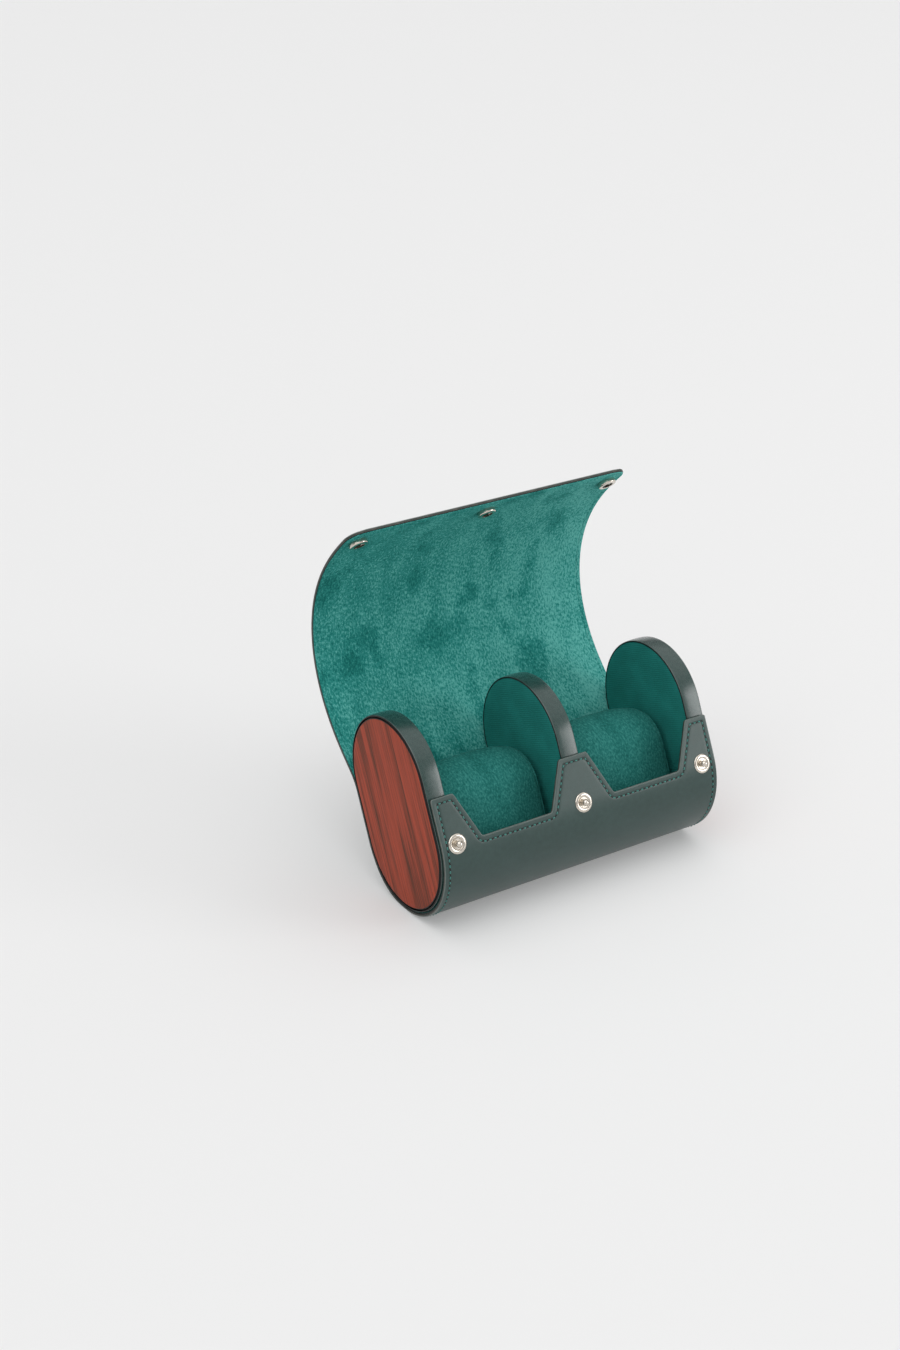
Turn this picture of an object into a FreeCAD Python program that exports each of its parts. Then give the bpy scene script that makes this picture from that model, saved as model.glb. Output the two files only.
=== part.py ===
# Two-watch storage roll: a leather trough on three oval boards, closed by one leather flap with snaps.
# Frame: X along the roll, -Y to the front, +Z up, origin in the middle of the flat strip it stands on.
# The roll leans back, so most pieces are drawn in a leaning frame: u up its long axis, v to its front.
import FreeCAD, Part
import os
from math import acos, asin, atan, cos, pi, radians, sin, sqrt, tan

# Boards
case_length = 160.0
board_radius = 33.5
board_half_straight = 14.5
board_thickness = 10.0
lean = radians(25.25)
edge_band_thickness = 0.9
facing_thickness = 0.6
wood_thickness = 1.8
wood_groove = 0.5
wood_proud = 0.1

# Leather trough
wrap_leather_thickness = 1.2
wrap_lining_thickness = 1.0
wrap_end_inset = 0.8
base_reach = 18.4
base_bend_radius = 6.0
tab_top = 6.5
notch_bottom = -16.2
notch_top_inset = 2.9
notch_bottom_inset = 12.9
notch_corner_radius = 2.0

# Flap, drawn open: its lean from upright swings from back to front along its length as a cosine
flap_leather_thickness = 1.2
flap_lining_thickness = 0.7
flap_strips = 7
flap_strip_length = 13.5
flap_front_length = 59.5
flap_lean = radians(48.5)
flap_corner_radius = 8.5
strip_gap = 0.2
strip_relief = radians(11.0)
curve_steps = 40
front_arcs = 3

# Snaps
snap_end_inset = 9.0
stud_height = -16.3
stud_flange_radius = 4.7
stud_flange_thickness = 0.6
stud_bead_width = 2.1
stud_bowl_floor = 0.2
stud_wall = 0.3
stud_ball_radius = 1.7
stud_ball_height = 1.7
rivet_post_radius = 0.9
rivet_disc_radius = 4.0
rivet_disc_thickness = 0.6
rivet_depth_in_stud = 0.8
rivet_clearance = 0.1
socket_edge_distance = 11.0
socket_rim_width = 1.3
socket_rim_fillet = 0.7
socket_proud = 2.2
socket_sleeve_wall = 0.6
washer_width = 1.1
washer_thickness = 0.35
wire_radius = 0.25
wire_height = 1.2
wire_side_gap = 0.35
wire_grip = 0.6
snap_clearance = 0.15

# Watch cushions
cushion_height = 66.0
cushion_depth = 46.0
cushion_side_gap = 2.5
cushion_cover_thickness = 1.0
cushion_end_draw = 4.0
cushion_shoulder_draw = 0.9
cushion_shoulder_length = 12.0
cushion_set_back = 3.0
cushion_clearance = 0.3

# Sizes that follow
wrap_thickness = wrap_leather_thickness + wrap_lining_thickness
trough_radius = board_radius + wrap_thickness
lining_radius = board_radius + wrap_lining_thickness
flap_thickness = flap_leather_thickness + flap_lining_thickness
flap_length = flap_strips * flap_strip_length + flap_front_length
socket_place = flap_length - socket_edge_distance
half_case = case_length / 2
half_board = board_thickness / 2
board_inner_x = half_case - board_thickness
wrap_half_length = half_case - wrap_end_inset
bay_x = (board_inner_x + half_board) / 2
bay_length = board_inner_x - half_board
cushion_length = bay_length - 2 * cushion_side_gap
core_radius = board_radius - edge_band_thickness
wood_radius = core_radius - wood_groove
base_angle = atan(base_reach / trough_radius)
base_flat = (trough_radius - base_bend_radius) * tan(base_angle)
stud_angle = asin((-board_half_straight - stud_height) / trough_radius)
stud_neck_radius = rivet_post_radius + stud_wall
stud_bowl_radius = stud_flange_radius - stud_bead_width
wire_offset = stud_ball_radius + wire_radius + snap_clearance
socket_bore_radius = wire_offset + wire_radius + wire_side_gap
socket_sleeve_radius = socket_bore_radius + socket_sleeve_wall
socket_radius = socket_sleeve_radius + socket_rim_width
washer_radius = socket_sleeve_radius + washer_width
wire_length = 2 * (sqrt(socket_bore_radius**2 - wire_offset**2) + wire_grip)
snap_places = [-(half_case - snap_end_inset), 0.0, half_case - snap_end_inset]

Vector = FreeCAD.Vector
along = Vector(1, 0, 0)


def at(x, u, v):
    """Point of the leaning frame in the case's own frame."""
    up = u + board_half_straight
    y = up * sin(lean) - v * cos(lean) - base_flat / 2
    z = up * cos(lean) + v * sin(lean) + trough_radius
    return Vector(x, y, z)


def heading(u, v):
    """Direction of the leaning frame in the case's own frame."""
    return at(0, u, v) - at(0, 0, 0)


def line(a, b):
    return Part.LineSegment(a, b).toShape()


def arc(a, b, c):
    return Part.Arc(a, b, c).toShape()


def prism(edges, direction):
    return Part.Face(Part.Wire(edges)).extrude(direction)


def save(shape, name):
    shape.exportStep("parts/%s.step" % name)


def save_group(shapes, name):
    save(Part.makeCompound(shapes), name)


# Boards


def oval(radius, x0, x1):
    """Oval slab on the boards' centre line, from x0 to x1."""
    h = board_half_straight
    edges = [
        arc(at(x0, h, -radius), at(x0, h + radius, 0), at(x0, h, radius)),
        line(at(x0, h, radius), at(x0, -h, radius)),
        arc(at(x0, -h, radius), at(x0, -h - radius, 0), at(x0, -h, -radius)),
        line(at(x0, -h, -radius), at(x0, h, -radius)),
    ]
    return prism(edges, along * (x1 - x0))


def end_board(side):
    """Core, wood panel, suede facing and leather edge band of the end board on one side."""
    inner = side * board_inner_x
    core_start = inner + side * facing_thickness
    core_end = side * (half_case - wood_thickness)
    band_end = side * (half_case - wood_proud)
    outer = side * half_case
    band = oval(board_radius, inner, band_end).cut(oval(core_radius, inner, band_end))
    return {
        "core": oval(core_radius, core_start, core_end),
        "wood": oval(wood_radius, core_end, outer),
        "suede": oval(core_radius, inner, core_start),
        "edge_band": band,
    }


def divider_board():
    """Core, two suede facings and leather edge band of the middle board."""
    core_half = half_board - facing_thickness
    band = oval(board_radius, -half_board, half_board).cut(oval(core_radius, -half_board, half_board))
    return {
        "core": oval(core_radius, -core_half, core_half),
        "suede_left": oval(core_radius, -half_board, -core_half),
        "suede_right": oval(core_radius, core_half, half_board),
        "edge_band": band,
    }


# Leather trough


def trough_path(radius, x):
    """Edges of the trough's section at one layer, from the tab tops in front, under the roll, to the hinge."""

    def polar(angle):
        return at(x, -board_half_straight + radius * cos(angle), radius * sin(angle))

    ground = pi + lean
    rise = ground + 2 * base_angle
    back = Vector(0, 1, 0)
    upward = Vector(0, cos(2 * base_angle), sin(2 * base_angle))
    bend = base_bend_radius - (trough_radius - radius)
    corner = polar(ground) + back * (radius * tan(base_angle))
    bend_start = corner - back * (bend * tan(base_angle))
    bend_end = corner + upward * (bend * tan(base_angle))
    bend_centre = bend_start + Vector(0, 0, bend)
    bend_middle = bend_centre + (corner - bend_centre).normalize() * bend
    hinge = at(x, board_half_straight - strip_gap / 2, -radius)
    return [
        line(at(x, tab_top, radius), polar(pi / 2)),
        arc(polar(pi / 2), polar((pi / 2 + ground) / 2), polar(ground)),
        line(polar(ground), bend_start),
        arc(bend_start, bend_middle, bend_end),
        line(bend_end, polar(rise)),
        arc(polar(rise), polar((rise + 1.5 * pi) / 2), polar(1.5 * pi)),
        line(polar(1.5 * pi), hinge),
    ]


def trough_layer(inner, outer):
    """Sheet between two radii of the trough, over the length of the wrap."""
    x = -wrap_half_length
    outside = trough_path(outer, x)
    inside = trough_path(inner, x)
    front = line(at(x, tab_top, inner), at(x, tab_top, outer))
    hinge = board_half_straight - strip_gap / 2
    back = line(at(x, hinge, -outer), at(x, hinge, -inner))
    return prism(outside + [back] + inside[::-1] + [front], along * (2 * wrap_half_length))


def rounded_outline(corners, radius):
    """Closed outline through corner points, each rounded with one radius."""
    edges = []
    starts = []
    for i, corner in enumerate(corners):
        before = (corners[i - 1] - corner).normalize()
        after = (corners[(i + 1) % len(corners)] - corner).normalize()
        half_angle = acos(before.dot(after)) / 2
        reach = radius / tan(half_angle)
        middle = (before + after).normalize() * (radius / sin(half_angle) - radius)
        starts.append((corner + before * reach, corner + middle, corner + after * reach))
    for i, (first, middle, last) in enumerate(starts):
        edges.append(arc(first, middle, last))
        edges.append(line(last, starts[(i + 1) % len(starts)][0]))
    return edges


def notch(centre):
    """Block that cuts a finger notch into the front panel; it runs past both faces and above the tabs."""
    slope = (notch_bottom_inset - notch_top_inset) / (tab_top - notch_bottom)
    rise = tab_top + board_half_straight
    bottom_half = bay_length / 2 - notch_bottom_inset
    top_half = bottom_half + slope * (rise - notch_bottom)
    corners = [
        at(centre - bottom_half, notch_bottom, 0),
        at(centre + bottom_half, notch_bottom, 0),
        at(centre + top_half, rise, 0),
        at(centre - top_half, rise, 0),
    ]
    return prism(rounded_outline(corners, notch_corner_radius), heading(0, 2 * trough_radius))


# Flap


def flap_point(place):
    """Point on the open flap's suede face, its run and its outward normal, at a distance from the hinge."""

    def run(distance):
        angle = flap_lean * cos(pi * distance / flap_length)
        return Vector(0, sin(angle), cos(angle))

    def outward(distance):
        direction = run(distance)
        return Vector(0, direction.z, -direction.y)

    point = at(0, board_half_straight, -trough_radius) - outward(0) * flap_thickness
    step = place / curve_steps
    for i in range(curve_steps):
        point = point + run((i + 0.5) * step) * step
    return point, run(place), outward(place)


def flap_sheet(start, end, near, far, arcs=1, end_relief=strip_relief):
    """Strip of the flap between two distances from the hinge and two depths from its suede face."""
    first = start + strip_gap / 2
    last = end - strip_gap / 2
    spots = 2 * arcs
    stations = [flap_point(first + (last - first) * i / spots) for i in range(spots + 1)]
    shift = along * -wrap_half_length

    def face(depth):
        points = [point + outward * depth + shift for point, run, outward in stations]
        first_run = stations[0][1]
        last_run = stations[-1][1]
        points[0] = points[0] + first_run * (depth * tan(strip_relief))
        points[-1] = points[-1] - last_run * (depth * tan(end_relief))
        return points

    inner = face(near)
    outer = face(far)
    edges = [arc(*inner[i : i + 3]) for i in range(0, spots, 2)]
    edges.append(line(inner[-1], outer[-1]))
    edges += [arc(*outer[i : i + 3]) for i in range(0, spots, 2)]
    edges.append(line(outer[0], inner[0]))
    return prism(Part.sortEdges(edges)[0], along * (2 * wrap_half_length))


def flap_front(near, far):
    """Last strip of the flap, with the snaps, and with both free corners rounded."""
    sheet = flap_sheet(flap_length - flap_front_length, flap_length, near, far, front_arcs, 0.0)
    tip = flap_point(flap_length - strip_gap / 2)[0]
    reach = 2 * flap_thickness

    def is_corner(edge):
        middle = edge.CenterOfMass
        offset = Vector(0, middle.y - tip.y, middle.z - tip.z)
        return edge.Length < reach and offset.Length < reach

    corners = [edge for edge in sheet.Edges if is_corner(edge)]
    return sheet.makeFillet(flap_corner_radius, corners)


# Snaps


def placed(shape, point, direction):
    """Shape that was drawn on +Z from the origin, set on a point and turned to a direction."""
    turned = shape.copy()
    turned.Placement = FreeCAD.Placement(point, FreeCAD.Rotation(Vector(0, 0, 1), direction))
    return turned


def rod(radius, low, high):
    """Round rod on the Z axis between two heights."""
    return Part.makeCylinder(radius, high - low, Vector(0, 0, low))


def stud_blank():
    """Flange bead, bowl, neck and ball of a stud; its foot starts inside the leather."""

    def spot(radius, height):
        return Vector(radius, 0, height)

    foot = -wrap_leather_thickness / 2
    bead = (stud_flange_radius + stud_bowl_radius) / 2
    neck_top = stud_ball_height - sqrt(stud_ball_radius**2 - stud_neck_radius**2)
    ball_top = stud_ball_height + stud_ball_radius
    edges = [
        line(spot(0, foot), spot(stud_flange_radius, foot)),
        line(spot(stud_flange_radius, foot), spot(stud_flange_radius, stud_bowl_floor)),
        arc(
            spot(stud_flange_radius, stud_bowl_floor),
            spot(bead, stud_flange_thickness),
            spot(stud_bowl_radius, stud_bowl_floor),
        ),
        line(spot(stud_bowl_radius, stud_bowl_floor), spot(stud_neck_radius, stud_bowl_floor)),
        line(spot(stud_neck_radius, stud_bowl_floor), spot(stud_neck_radius, neck_top)),
        arc(spot(stud_neck_radius, neck_top), spot(stud_ball_radius, stud_ball_height), spot(0, ball_top)),
        line(spot(0, ball_top), spot(0, foot)),
    ]
    return Part.Face(Part.Wire(edges)).revolve(Vector(0, 0, 0), Vector(0, 0, 1), 360)


def stud_seat(x):
    """Middle of a stud's seat on the front panel, and the direction that it faces."""
    u = -sin(stud_angle)
    v = cos(stud_angle)
    return at(x, -board_half_straight + trough_radius * u, trough_radius * v), heading(u, v)


def make_studs(leather, lining):
    """Studs and rivets, with the leather and lining that they go through."""
    rivet_layer = trough_layer(lining_radius - rivet_disc_thickness, lining_radius)
    studs = []
    rivets = []
    through = 2 * wrap_thickness
    for x in snap_places:
        point, facing = stud_seat(x)
        post_foot = -wrap_leather_thickness - rivet_disc_thickness / 2
        post = placed(rod(rivet_post_radius, post_foot, rivet_depth_in_stud), point, facing)
        disc = placed(rod(rivet_disc_radius, -through, through), point, facing).common(rivet_layer)
        pocket = placed(rod(rivet_disc_radius + rivet_clearance, -through, through), point, facing)
        hole = placed(rod(rivet_post_radius + rivet_clearance, -through, through), point, facing)
        studs.append(placed(stud_blank(), point, facing).cut(leather).cut(post))
        rivets.append(disc.fuse(post).removeSplitter())
        lining = lining.cut(pocket.common(rivet_layer))
        leather = leather.cut(hole)
    return studs, rivets, leather, lining


def make_sockets(leather, lining):
    """Sockets, their spring wires and washers, and the flap's front lining with the holes for them."""
    point, run, outward = flap_point(socket_place)
    facing = outward * -1
    washer_layer = flap_sheet(
        flap_length - flap_front_length,
        flap_length,
        flap_lining_thickness - washer_thickness,
        flap_lining_thickness,
        front_arcs,
        0.0,
    )
    deep = 2 * flap_thickness
    rim = rod(socket_radius, -flap_lining_thickness / 2, socket_proud)
    rim = rim.makeFillet(socket_rim_fillet, [edge for edge in rim.Edges if edge.BoundBox.ZMin > 0])
    sleeve_foot = -flap_lining_thickness - flap_leather_thickness / 2
    blank = rim.fuse(rod(socket_sleeve_radius, sleeve_foot, socket_proud))
    blank = blank.cut(rod(socket_bore_radius, -deep, deep)).removeSplitter()
    ring = rod(washer_radius, -deep, deep).cut(rod(socket_sleeve_radius, -deep, deep))
    sockets = []
    wires = []
    washers = []
    for x in snap_places:
        seat = point + along * x
        washer = placed(ring, seat, facing).common(washer_layer)
        lining = lining.cut(placed(rod(socket_sleeve_radius, -deep, deep), seat, facing)).cut(washer)
        socket = placed(blank, seat, facing).cut(leather).cut(lining).cut(washer)
        for side in (-1, 1):
            middle = seat + along * (side * wire_offset) + facing * wire_height
            wire = Part.makeCylinder(wire_radius, wire_length, middle - run * (wire_length / 2), run)
            socket = socket.cut(wire)
            wires.append(wire)
        sockets.append(socket)
        washers.append(washer)
    return sockets, wires, washers, lining


# Watch cushions


def cushion_section(x, draw, inset):
    """Oval outline of a cushion at one place along the roll, drawn in from its full size."""
    radius = cushion_depth / 2 - draw - inset
    straight = (cushion_height - cushion_depth) / 2
    reach = board_radius - cushion_depth / 2 - cushion_clearance
    low = -board_half_straight - sqrt(reach**2 - cushion_set_back**2)
    high = low + 2 * straight

    def spot(u, turn):
        return at(x, u + radius * sin(turn), -cushion_set_back + radius * cos(turn))

    quarter = pi / 2
    edges = [line(spot(low, 0), spot(high, 0))]
    for u, start in ((high, 0), (high, quarter), (low, 2 * quarter), (low, 3 * quarter)):
        if start == 2 * quarter:
            edges.append(line(spot(high, start), spot(low, start)))
        edges.append(arc(spot(u, start), spot(u, start + quarter / 2), spot(u, start + quarter)))
    return Part.Wire(edges)


def cushion_form(centre, inset):
    """Crowned cushion: full in the middle, drawn in towards both ends."""
    half = cushion_length / 2 - inset
    shoulder = cushion_length / 2 - cushion_shoulder_length
    stations = [
        (-half, cushion_end_draw),
        (-shoulder, cushion_shoulder_draw),
        (0, 0),
        (shoulder, cushion_shoulder_draw),
        (half, cushion_end_draw),
    ]
    sections = [cushion_section(centre + x, draw, inset) for x, draw in stations]
    return Part.makeLoft(sections, True, False)


os.makedirs("parts", exist_ok=True)

for name, side in (("left_end", -1), ("right_end", 1)):
    for piece, shape in end_board(side).items():
        save(shape, "%s_%s" % (name, piece))
for piece, shape in divider_board().items():
    save(shape, "divider_%s" % piece)

wrap_leather = trough_layer(lining_radius, trough_radius)
wrap_lining = trough_layer(board_radius, lining_radius)
for side in (-1, 1):
    block = notch(side * bay_x)
    wrap_leather = wrap_leather.cut(block)
    wrap_lining = wrap_lining.cut(block)
studs, rivets, wrap_leather, wrap_lining = make_studs(wrap_leather, wrap_lining)
save(wrap_leather, "wrap_leather")
save(wrap_lining, "wrap_lining")
save_group(studs, "snap_studs")
save_group(rivets, "stud_rivets")

for i in range(flap_strips):
    start = i * flap_strip_length
    end = start + flap_strip_length
    save(flap_sheet(start, end, flap_lining_thickness, flap_thickness), "flap_leather_%d" % (i + 1))
    save(flap_sheet(start, end, 0.0, flap_lining_thickness), "flap_lining_%d" % (i + 1))
front_leather = flap_front(flap_lining_thickness, flap_thickness)
front_lining = flap_front(0.0, flap_lining_thickness)
sockets, wires, washers, front_lining = make_sockets(front_leather, front_lining)
save(front_leather, "flap_leather_front")
save(front_lining, "flap_lining_front")
save_group(sockets, "snap_sockets")
save_group(wires, "socket_springs")
save_group(washers, "socket_washers")

for name, side in (("left", -1), ("right", 1)):
    outside = cushion_form(side * bay_x, 0.0)
    inside = cushion_form(side * bay_x, cushion_cover_thickness)
    save(outside.cut(inside), "cushion_%s_cover" % name)
    save(inside, "cushion_%s_core" % name)
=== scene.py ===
"""Looks of a leather storage roll with two bays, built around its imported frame, in metres."""
import logging
import math
from collections.abc import Callable, Sequence
from dataclasses import dataclass, field
from enum import Enum
from functools import partial

import bmesh
import bpy
import numpy as np
from mathutils import Matrix, Vector
from mathutils.bvhtree import BVHTree


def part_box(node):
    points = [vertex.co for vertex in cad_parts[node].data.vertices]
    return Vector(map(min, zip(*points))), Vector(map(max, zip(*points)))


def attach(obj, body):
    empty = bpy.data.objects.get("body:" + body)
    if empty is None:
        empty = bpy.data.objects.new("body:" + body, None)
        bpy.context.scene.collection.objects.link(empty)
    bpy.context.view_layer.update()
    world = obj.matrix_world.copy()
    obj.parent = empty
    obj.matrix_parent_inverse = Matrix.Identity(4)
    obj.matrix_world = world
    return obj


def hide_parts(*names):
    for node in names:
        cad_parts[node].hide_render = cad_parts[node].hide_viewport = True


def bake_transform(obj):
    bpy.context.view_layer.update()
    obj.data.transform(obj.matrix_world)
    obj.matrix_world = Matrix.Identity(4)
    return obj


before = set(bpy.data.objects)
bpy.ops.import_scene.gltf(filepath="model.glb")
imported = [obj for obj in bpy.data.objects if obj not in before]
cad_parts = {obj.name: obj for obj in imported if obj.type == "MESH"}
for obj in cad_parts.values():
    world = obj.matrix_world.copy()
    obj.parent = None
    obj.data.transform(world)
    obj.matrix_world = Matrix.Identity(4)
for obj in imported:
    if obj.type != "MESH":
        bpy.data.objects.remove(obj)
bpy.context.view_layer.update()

log = logging.getLogger("storage_roll")

FLAT_MAP = "flat"
RIM = "rim"
NEARLY_ZERO = 1e-9
BAND_PERIOD = 0.314
Colour = tuple[float, float, float, float]
TwoArrays = tuple[np.ndarray, np.ndarray]
Lamp = tuple[str, tuple[float, float, float], float, float]


def smooth_step(value: np.ndarray, low: float, high: float) -> np.ndarray:
    """Rises smoothly from 0 at low to 1 at high."""
    share = np.clip((value - low) / (high - low), 0.0, 1.0)
    return share * share * (3.0 - 2.0 * share)


def placed(name: str, data: bpy.types.ID) -> bpy.types.Object:
    """Puts a mesh, lamp or lens in the scene as an object."""
    made = bpy.data.objects.new(name, data)
    bpy.context.scene.collection.objects.link(made)
    return made


# Shader expressions


class Socket:
    """An output socket of a shader tree. Arithmetic on it adds Math nodes to the tree."""

    def __init__(self, tree: "ShaderTree", output: bpy.types.NodeSocket) -> None:
        """Keeps the tree and the socket."""
        self.tree = tree
        self.output = output

    def __add__(self, other: "Socket | float") -> "Socket":
        """Sum of two values."""
        return self.tree.math("ADD", self, other)

    def __radd__(self, other: float) -> "Socket":
        """Sum with a number on the left."""
        return self.tree.math("ADD", other, self)

    def __sub__(self, other: "Socket | float") -> "Socket":
        """Difference of two values."""
        return self.tree.math("SUBTRACT", self, other)

    def __rsub__(self, other: float) -> "Socket":
        """Difference with a number on the left."""
        return self.tree.math("SUBTRACT", other, self)

    def __mul__(self, other: "Socket | float") -> "Socket":
        """Product of two values."""
        return self.tree.math("MULTIPLY", self, other)

    def __rmul__(self, other: float) -> "Socket":
        """Product with a number on the left."""
        return self.tree.math("MULTIPLY", other, self)


class ShaderTree:
    """The nodes of one material or world."""

    def __init__(self, owner: bpy.types.Material | bpy.types.World) -> None:
        """Starts with an empty tree.

        Args:
            owner: The new material or world that gets the nodes.
        """
        owner.use_nodes = True
        self.owner = owner
        self.tree = owner.node_tree
        self.tree.nodes.clear()

    def node(
        self,
        kind: str,
        settings: dict | None = None,
        sockets: dict | None = None,
        output: int | str = 0,
    ) -> Socket:
        """Adds one node.

        Args:
            kind: The node's type.
            settings: Its settings, set before its sockets; "stops" are a ramp's places and colours.
            sockets: Values or links of its input sockets, by name or number.
            output: The output socket to return.

        Returns:
            The chosen output socket.
        """
        made = self.tree.nodes.new(kind)
        for key, value in (settings or {}).items():
            if key == "stops":
                self.set_stops(made.color_ramp, value)
            else:
                setattr(made, key, value)
        for key, value in (sockets or {}).items():
            if isinstance(value, Socket):
                self.tree.links.new(value.output, made.inputs[key])
            else:
                made.inputs[key].default_value = value
        return Socket(self, made.outputs[output])

    @staticmethod
    def set_stops(ramp: bpy.types.ColorRamp, stops: list[tuple[float, Colour]]) -> None:
        """Gives a colour ramp its stops.

        Args:
            ramp: The ramp, with its two first stops.
            stops: Places from 0 to 1 and their colours.
        """
        while len(ramp.elements) < len(stops):
            ramp.elements.new(1.0)
        for element, (place, colour) in zip(ramp.elements, stops):
            element.position = place
            element.color = colour

    def math(self, operation: str, *values: "Socket | float") -> Socket:
        """A Math node on one or more values."""
        sockets = dict(enumerate(values))
        return self.node("ShaderNodeMath", {"operation": operation}, sockets)

    def flat(self, across: float = 1.0, along: float = 1.0, turn: float = 0.0) -> Socket:
        """Coordinates of a piece's flat pattern, in metres, stretched and turned.

        Args:
            across: Factor across the pattern.
            along: Factor along the pattern.
            turn: Turn of the pattern, in degrees.

        Returns:
            The coordinates.
        """
        place = self.node("ShaderNodeUVMap", {"uv_map": FLAT_MAP})
        sockets = {"Vector": place, "Rotation": (0, 0, math.radians(turn)), "Scale": (across, along, 1.0)}
        return self.node("ShaderNodeMapping", {"vector_type": "POINT"}, sockets)

    def solid(self) -> Socket:
        """Coordinates of a piece in the roll's own frame, in metres."""
        return self.node("ShaderNodeTexCoord", output="Object")

    def noise(self, place: Socket, size: float, detail: float = 2.0, rough: float = 0.5) -> Socket:
        """Noise with features of a given size.

        Args:
            place: Coordinates, in metres.
            size: Size of the features, in metres.
            detail: Octaves of finer noise.
            rough: Strength of the finer noise.

        Returns:
            A value about 0.5.
        """
        sockets = {"Vector": place, "Scale": 1.0 / size, "Detail": detail, "Roughness": rough}
        return self.node("ShaderNodeTexNoise", {"noise_dimensions": "3D"}, sockets)

    def step(self, value: Socket, low: float, high: float) -> Socket:
        """A smooth rise from 0 at low to 1 at high."""
        sockets = {"Value": value, "From Min": low, "From Max": high}
        return self.node("ShaderNodeMapRange", {"interpolation_type": "SMOOTHSTEP"}, sockets)

    def mix(self, share: Socket | float, first: Socket | Colour, second: Socket | Colour) -> Socket:
        """A colour between two colours."""
        return self.node("ShaderNodeMix", {"data_type": "RGBA"}, {0: share, 6: first, 7: second}, 2)

    def bump(self, height: Socket, depth: float, strength: float = 1.0) -> Socket:
        """A normal from a height.

        Args:
            height: The height, from 0 to 1.
            depth: The height's full depth, in metres.
            strength: Share of the effect.

        Returns:
            The normal.
        """
        return self.node("ShaderNodeBump", None, {"Height": height, "Distance": depth, "Strength": strength})

    def finish(self, sockets: dict) -> bpy.types.Material:
        """Ends the tree in a Principled surface.

        Args:
            sockets: Values and links of the surface.

        Returns:
            The material.
        """
        surface = self.node("ShaderNodeBsdfPrincipled", None, sockets)
        return self.end("ShaderNodeOutputMaterial", surface)

    def end(self, kind: str, surface: Socket) -> bpy.types.Material | bpy.types.World:
        """Links a surface to a new output node.

        Args:
            kind: The output node's type.
            surface: The surface.

        Returns:
            The tree's owner.
        """
        output = self.tree.nodes.new(kind)
        self.tree.links.new(surface.output, output.inputs["Surface"])
        return self.owner


# Finishes


@dataclass(frozen=True)
class Leather:
    """Smooth dyed leather with a fine pebble and a satin top coat, and a pale colour along its edges that is
    a painted highlight of the rounded edge, with some wear.
    """

    name: str
    deep: Colour = (0.013, 0.038, 0.033, 1.0)
    pale: Colour = (0.024, 0.056, 0.050, 1.0)
    # Pale colour at the edges: a painted highlight of the rounded edges, with some wear.
    worn: Colour = (0.170, 0.200, 0.188, 1.0)
    pebble: float = 0.00042
    cloud: float = 0.016
    roughness: float = 0.40
    coat: float = 0.18

    def material(self) -> bpy.types.Material:
        """Makes the material."""
        tree = ShaderTree(bpy.data.materials.new(self.name))
        place = tree.flat()
        cloud = tree.noise(place, self.cloud, 4.0)
        mottle = tree.noise(place, self.pebble * 6, 3.0, 0.6)
        cells = tree.node(
            "ShaderNodeTexVoronoi",
            {"feature": "SMOOTH_F1", "voronoi_dimensions": "2D"},
            {"Vector": place, "Scale": 1.0 / self.pebble, "Smoothness": 0.6},
        )
        pores = tree.noise(place, self.pebble * 0.45, 2.0, 0.6)
        grain = 1.0 - cells * 0.7 + pores * 0.4
        shade = tree.step(cloud * 0.25 + mottle * 0.35 + pores * 0.4, 0.34, 0.66)
        rim = tree.node("ShaderNodeAttribute", {"attribute_name": RIM}, output="Fac")
        # The rim attribute paints a pale highlight along the rounded edges, with some wear.
        wear_and_highlight_share = rim * (mottle * 0.6 + 0.4)
        rough = self.roughness + (mottle - 0.5) * 0.14 + (cells - 0.4) * 0.1 - rim * 0.08
        return tree.finish(
            {
                "Base Color": tree.mix(wear_and_highlight_share, tree.mix(shade, self.deep, self.pale), self.worn),
                "Roughness": rough,
                "Normal": tree.bump(grain, 0.000035, 0.55),
                "Specular IOR Level": 0.45,
                "Coat Weight": self.coat,
                "Coat Roughness": 0.28,
            }
        )


@dataclass(frozen=True)
class EdgePaint:
    """Dark paint that seals the cut edges of leather and board; as the edge finish it also paints the shade
    of the awl holes and of the gap by the lining's edges.
    """

    name: str
    colour: Colour = (0.004, 0.004, 0.004, 1.0)
    worn: Colour = (0.014, 0.012, 0.010, 1.0)

    def material(self) -> bpy.types.Material:
        """Makes the material."""
        tree = ShaderTree(bpy.data.materials.new(self.name))
        place = tree.solid()
        wear_and_highlight_share = tree.step(tree.noise(place, 0.004, 4.0, 0.6), 0.45, 0.75)
        ripple = tree.noise(place, 0.0007, 2.0)
        return tree.finish(
            {
                "Base Color": tree.mix(wear_and_highlight_share, self.colour, self.worn),
                "Roughness": 0.48 + wear_and_highlight_share * 0.2,
                "Normal": tree.bump(ripple, 0.00006, 0.5),
                "Specular IOR Level": 0.3,
            }
        )


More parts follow.
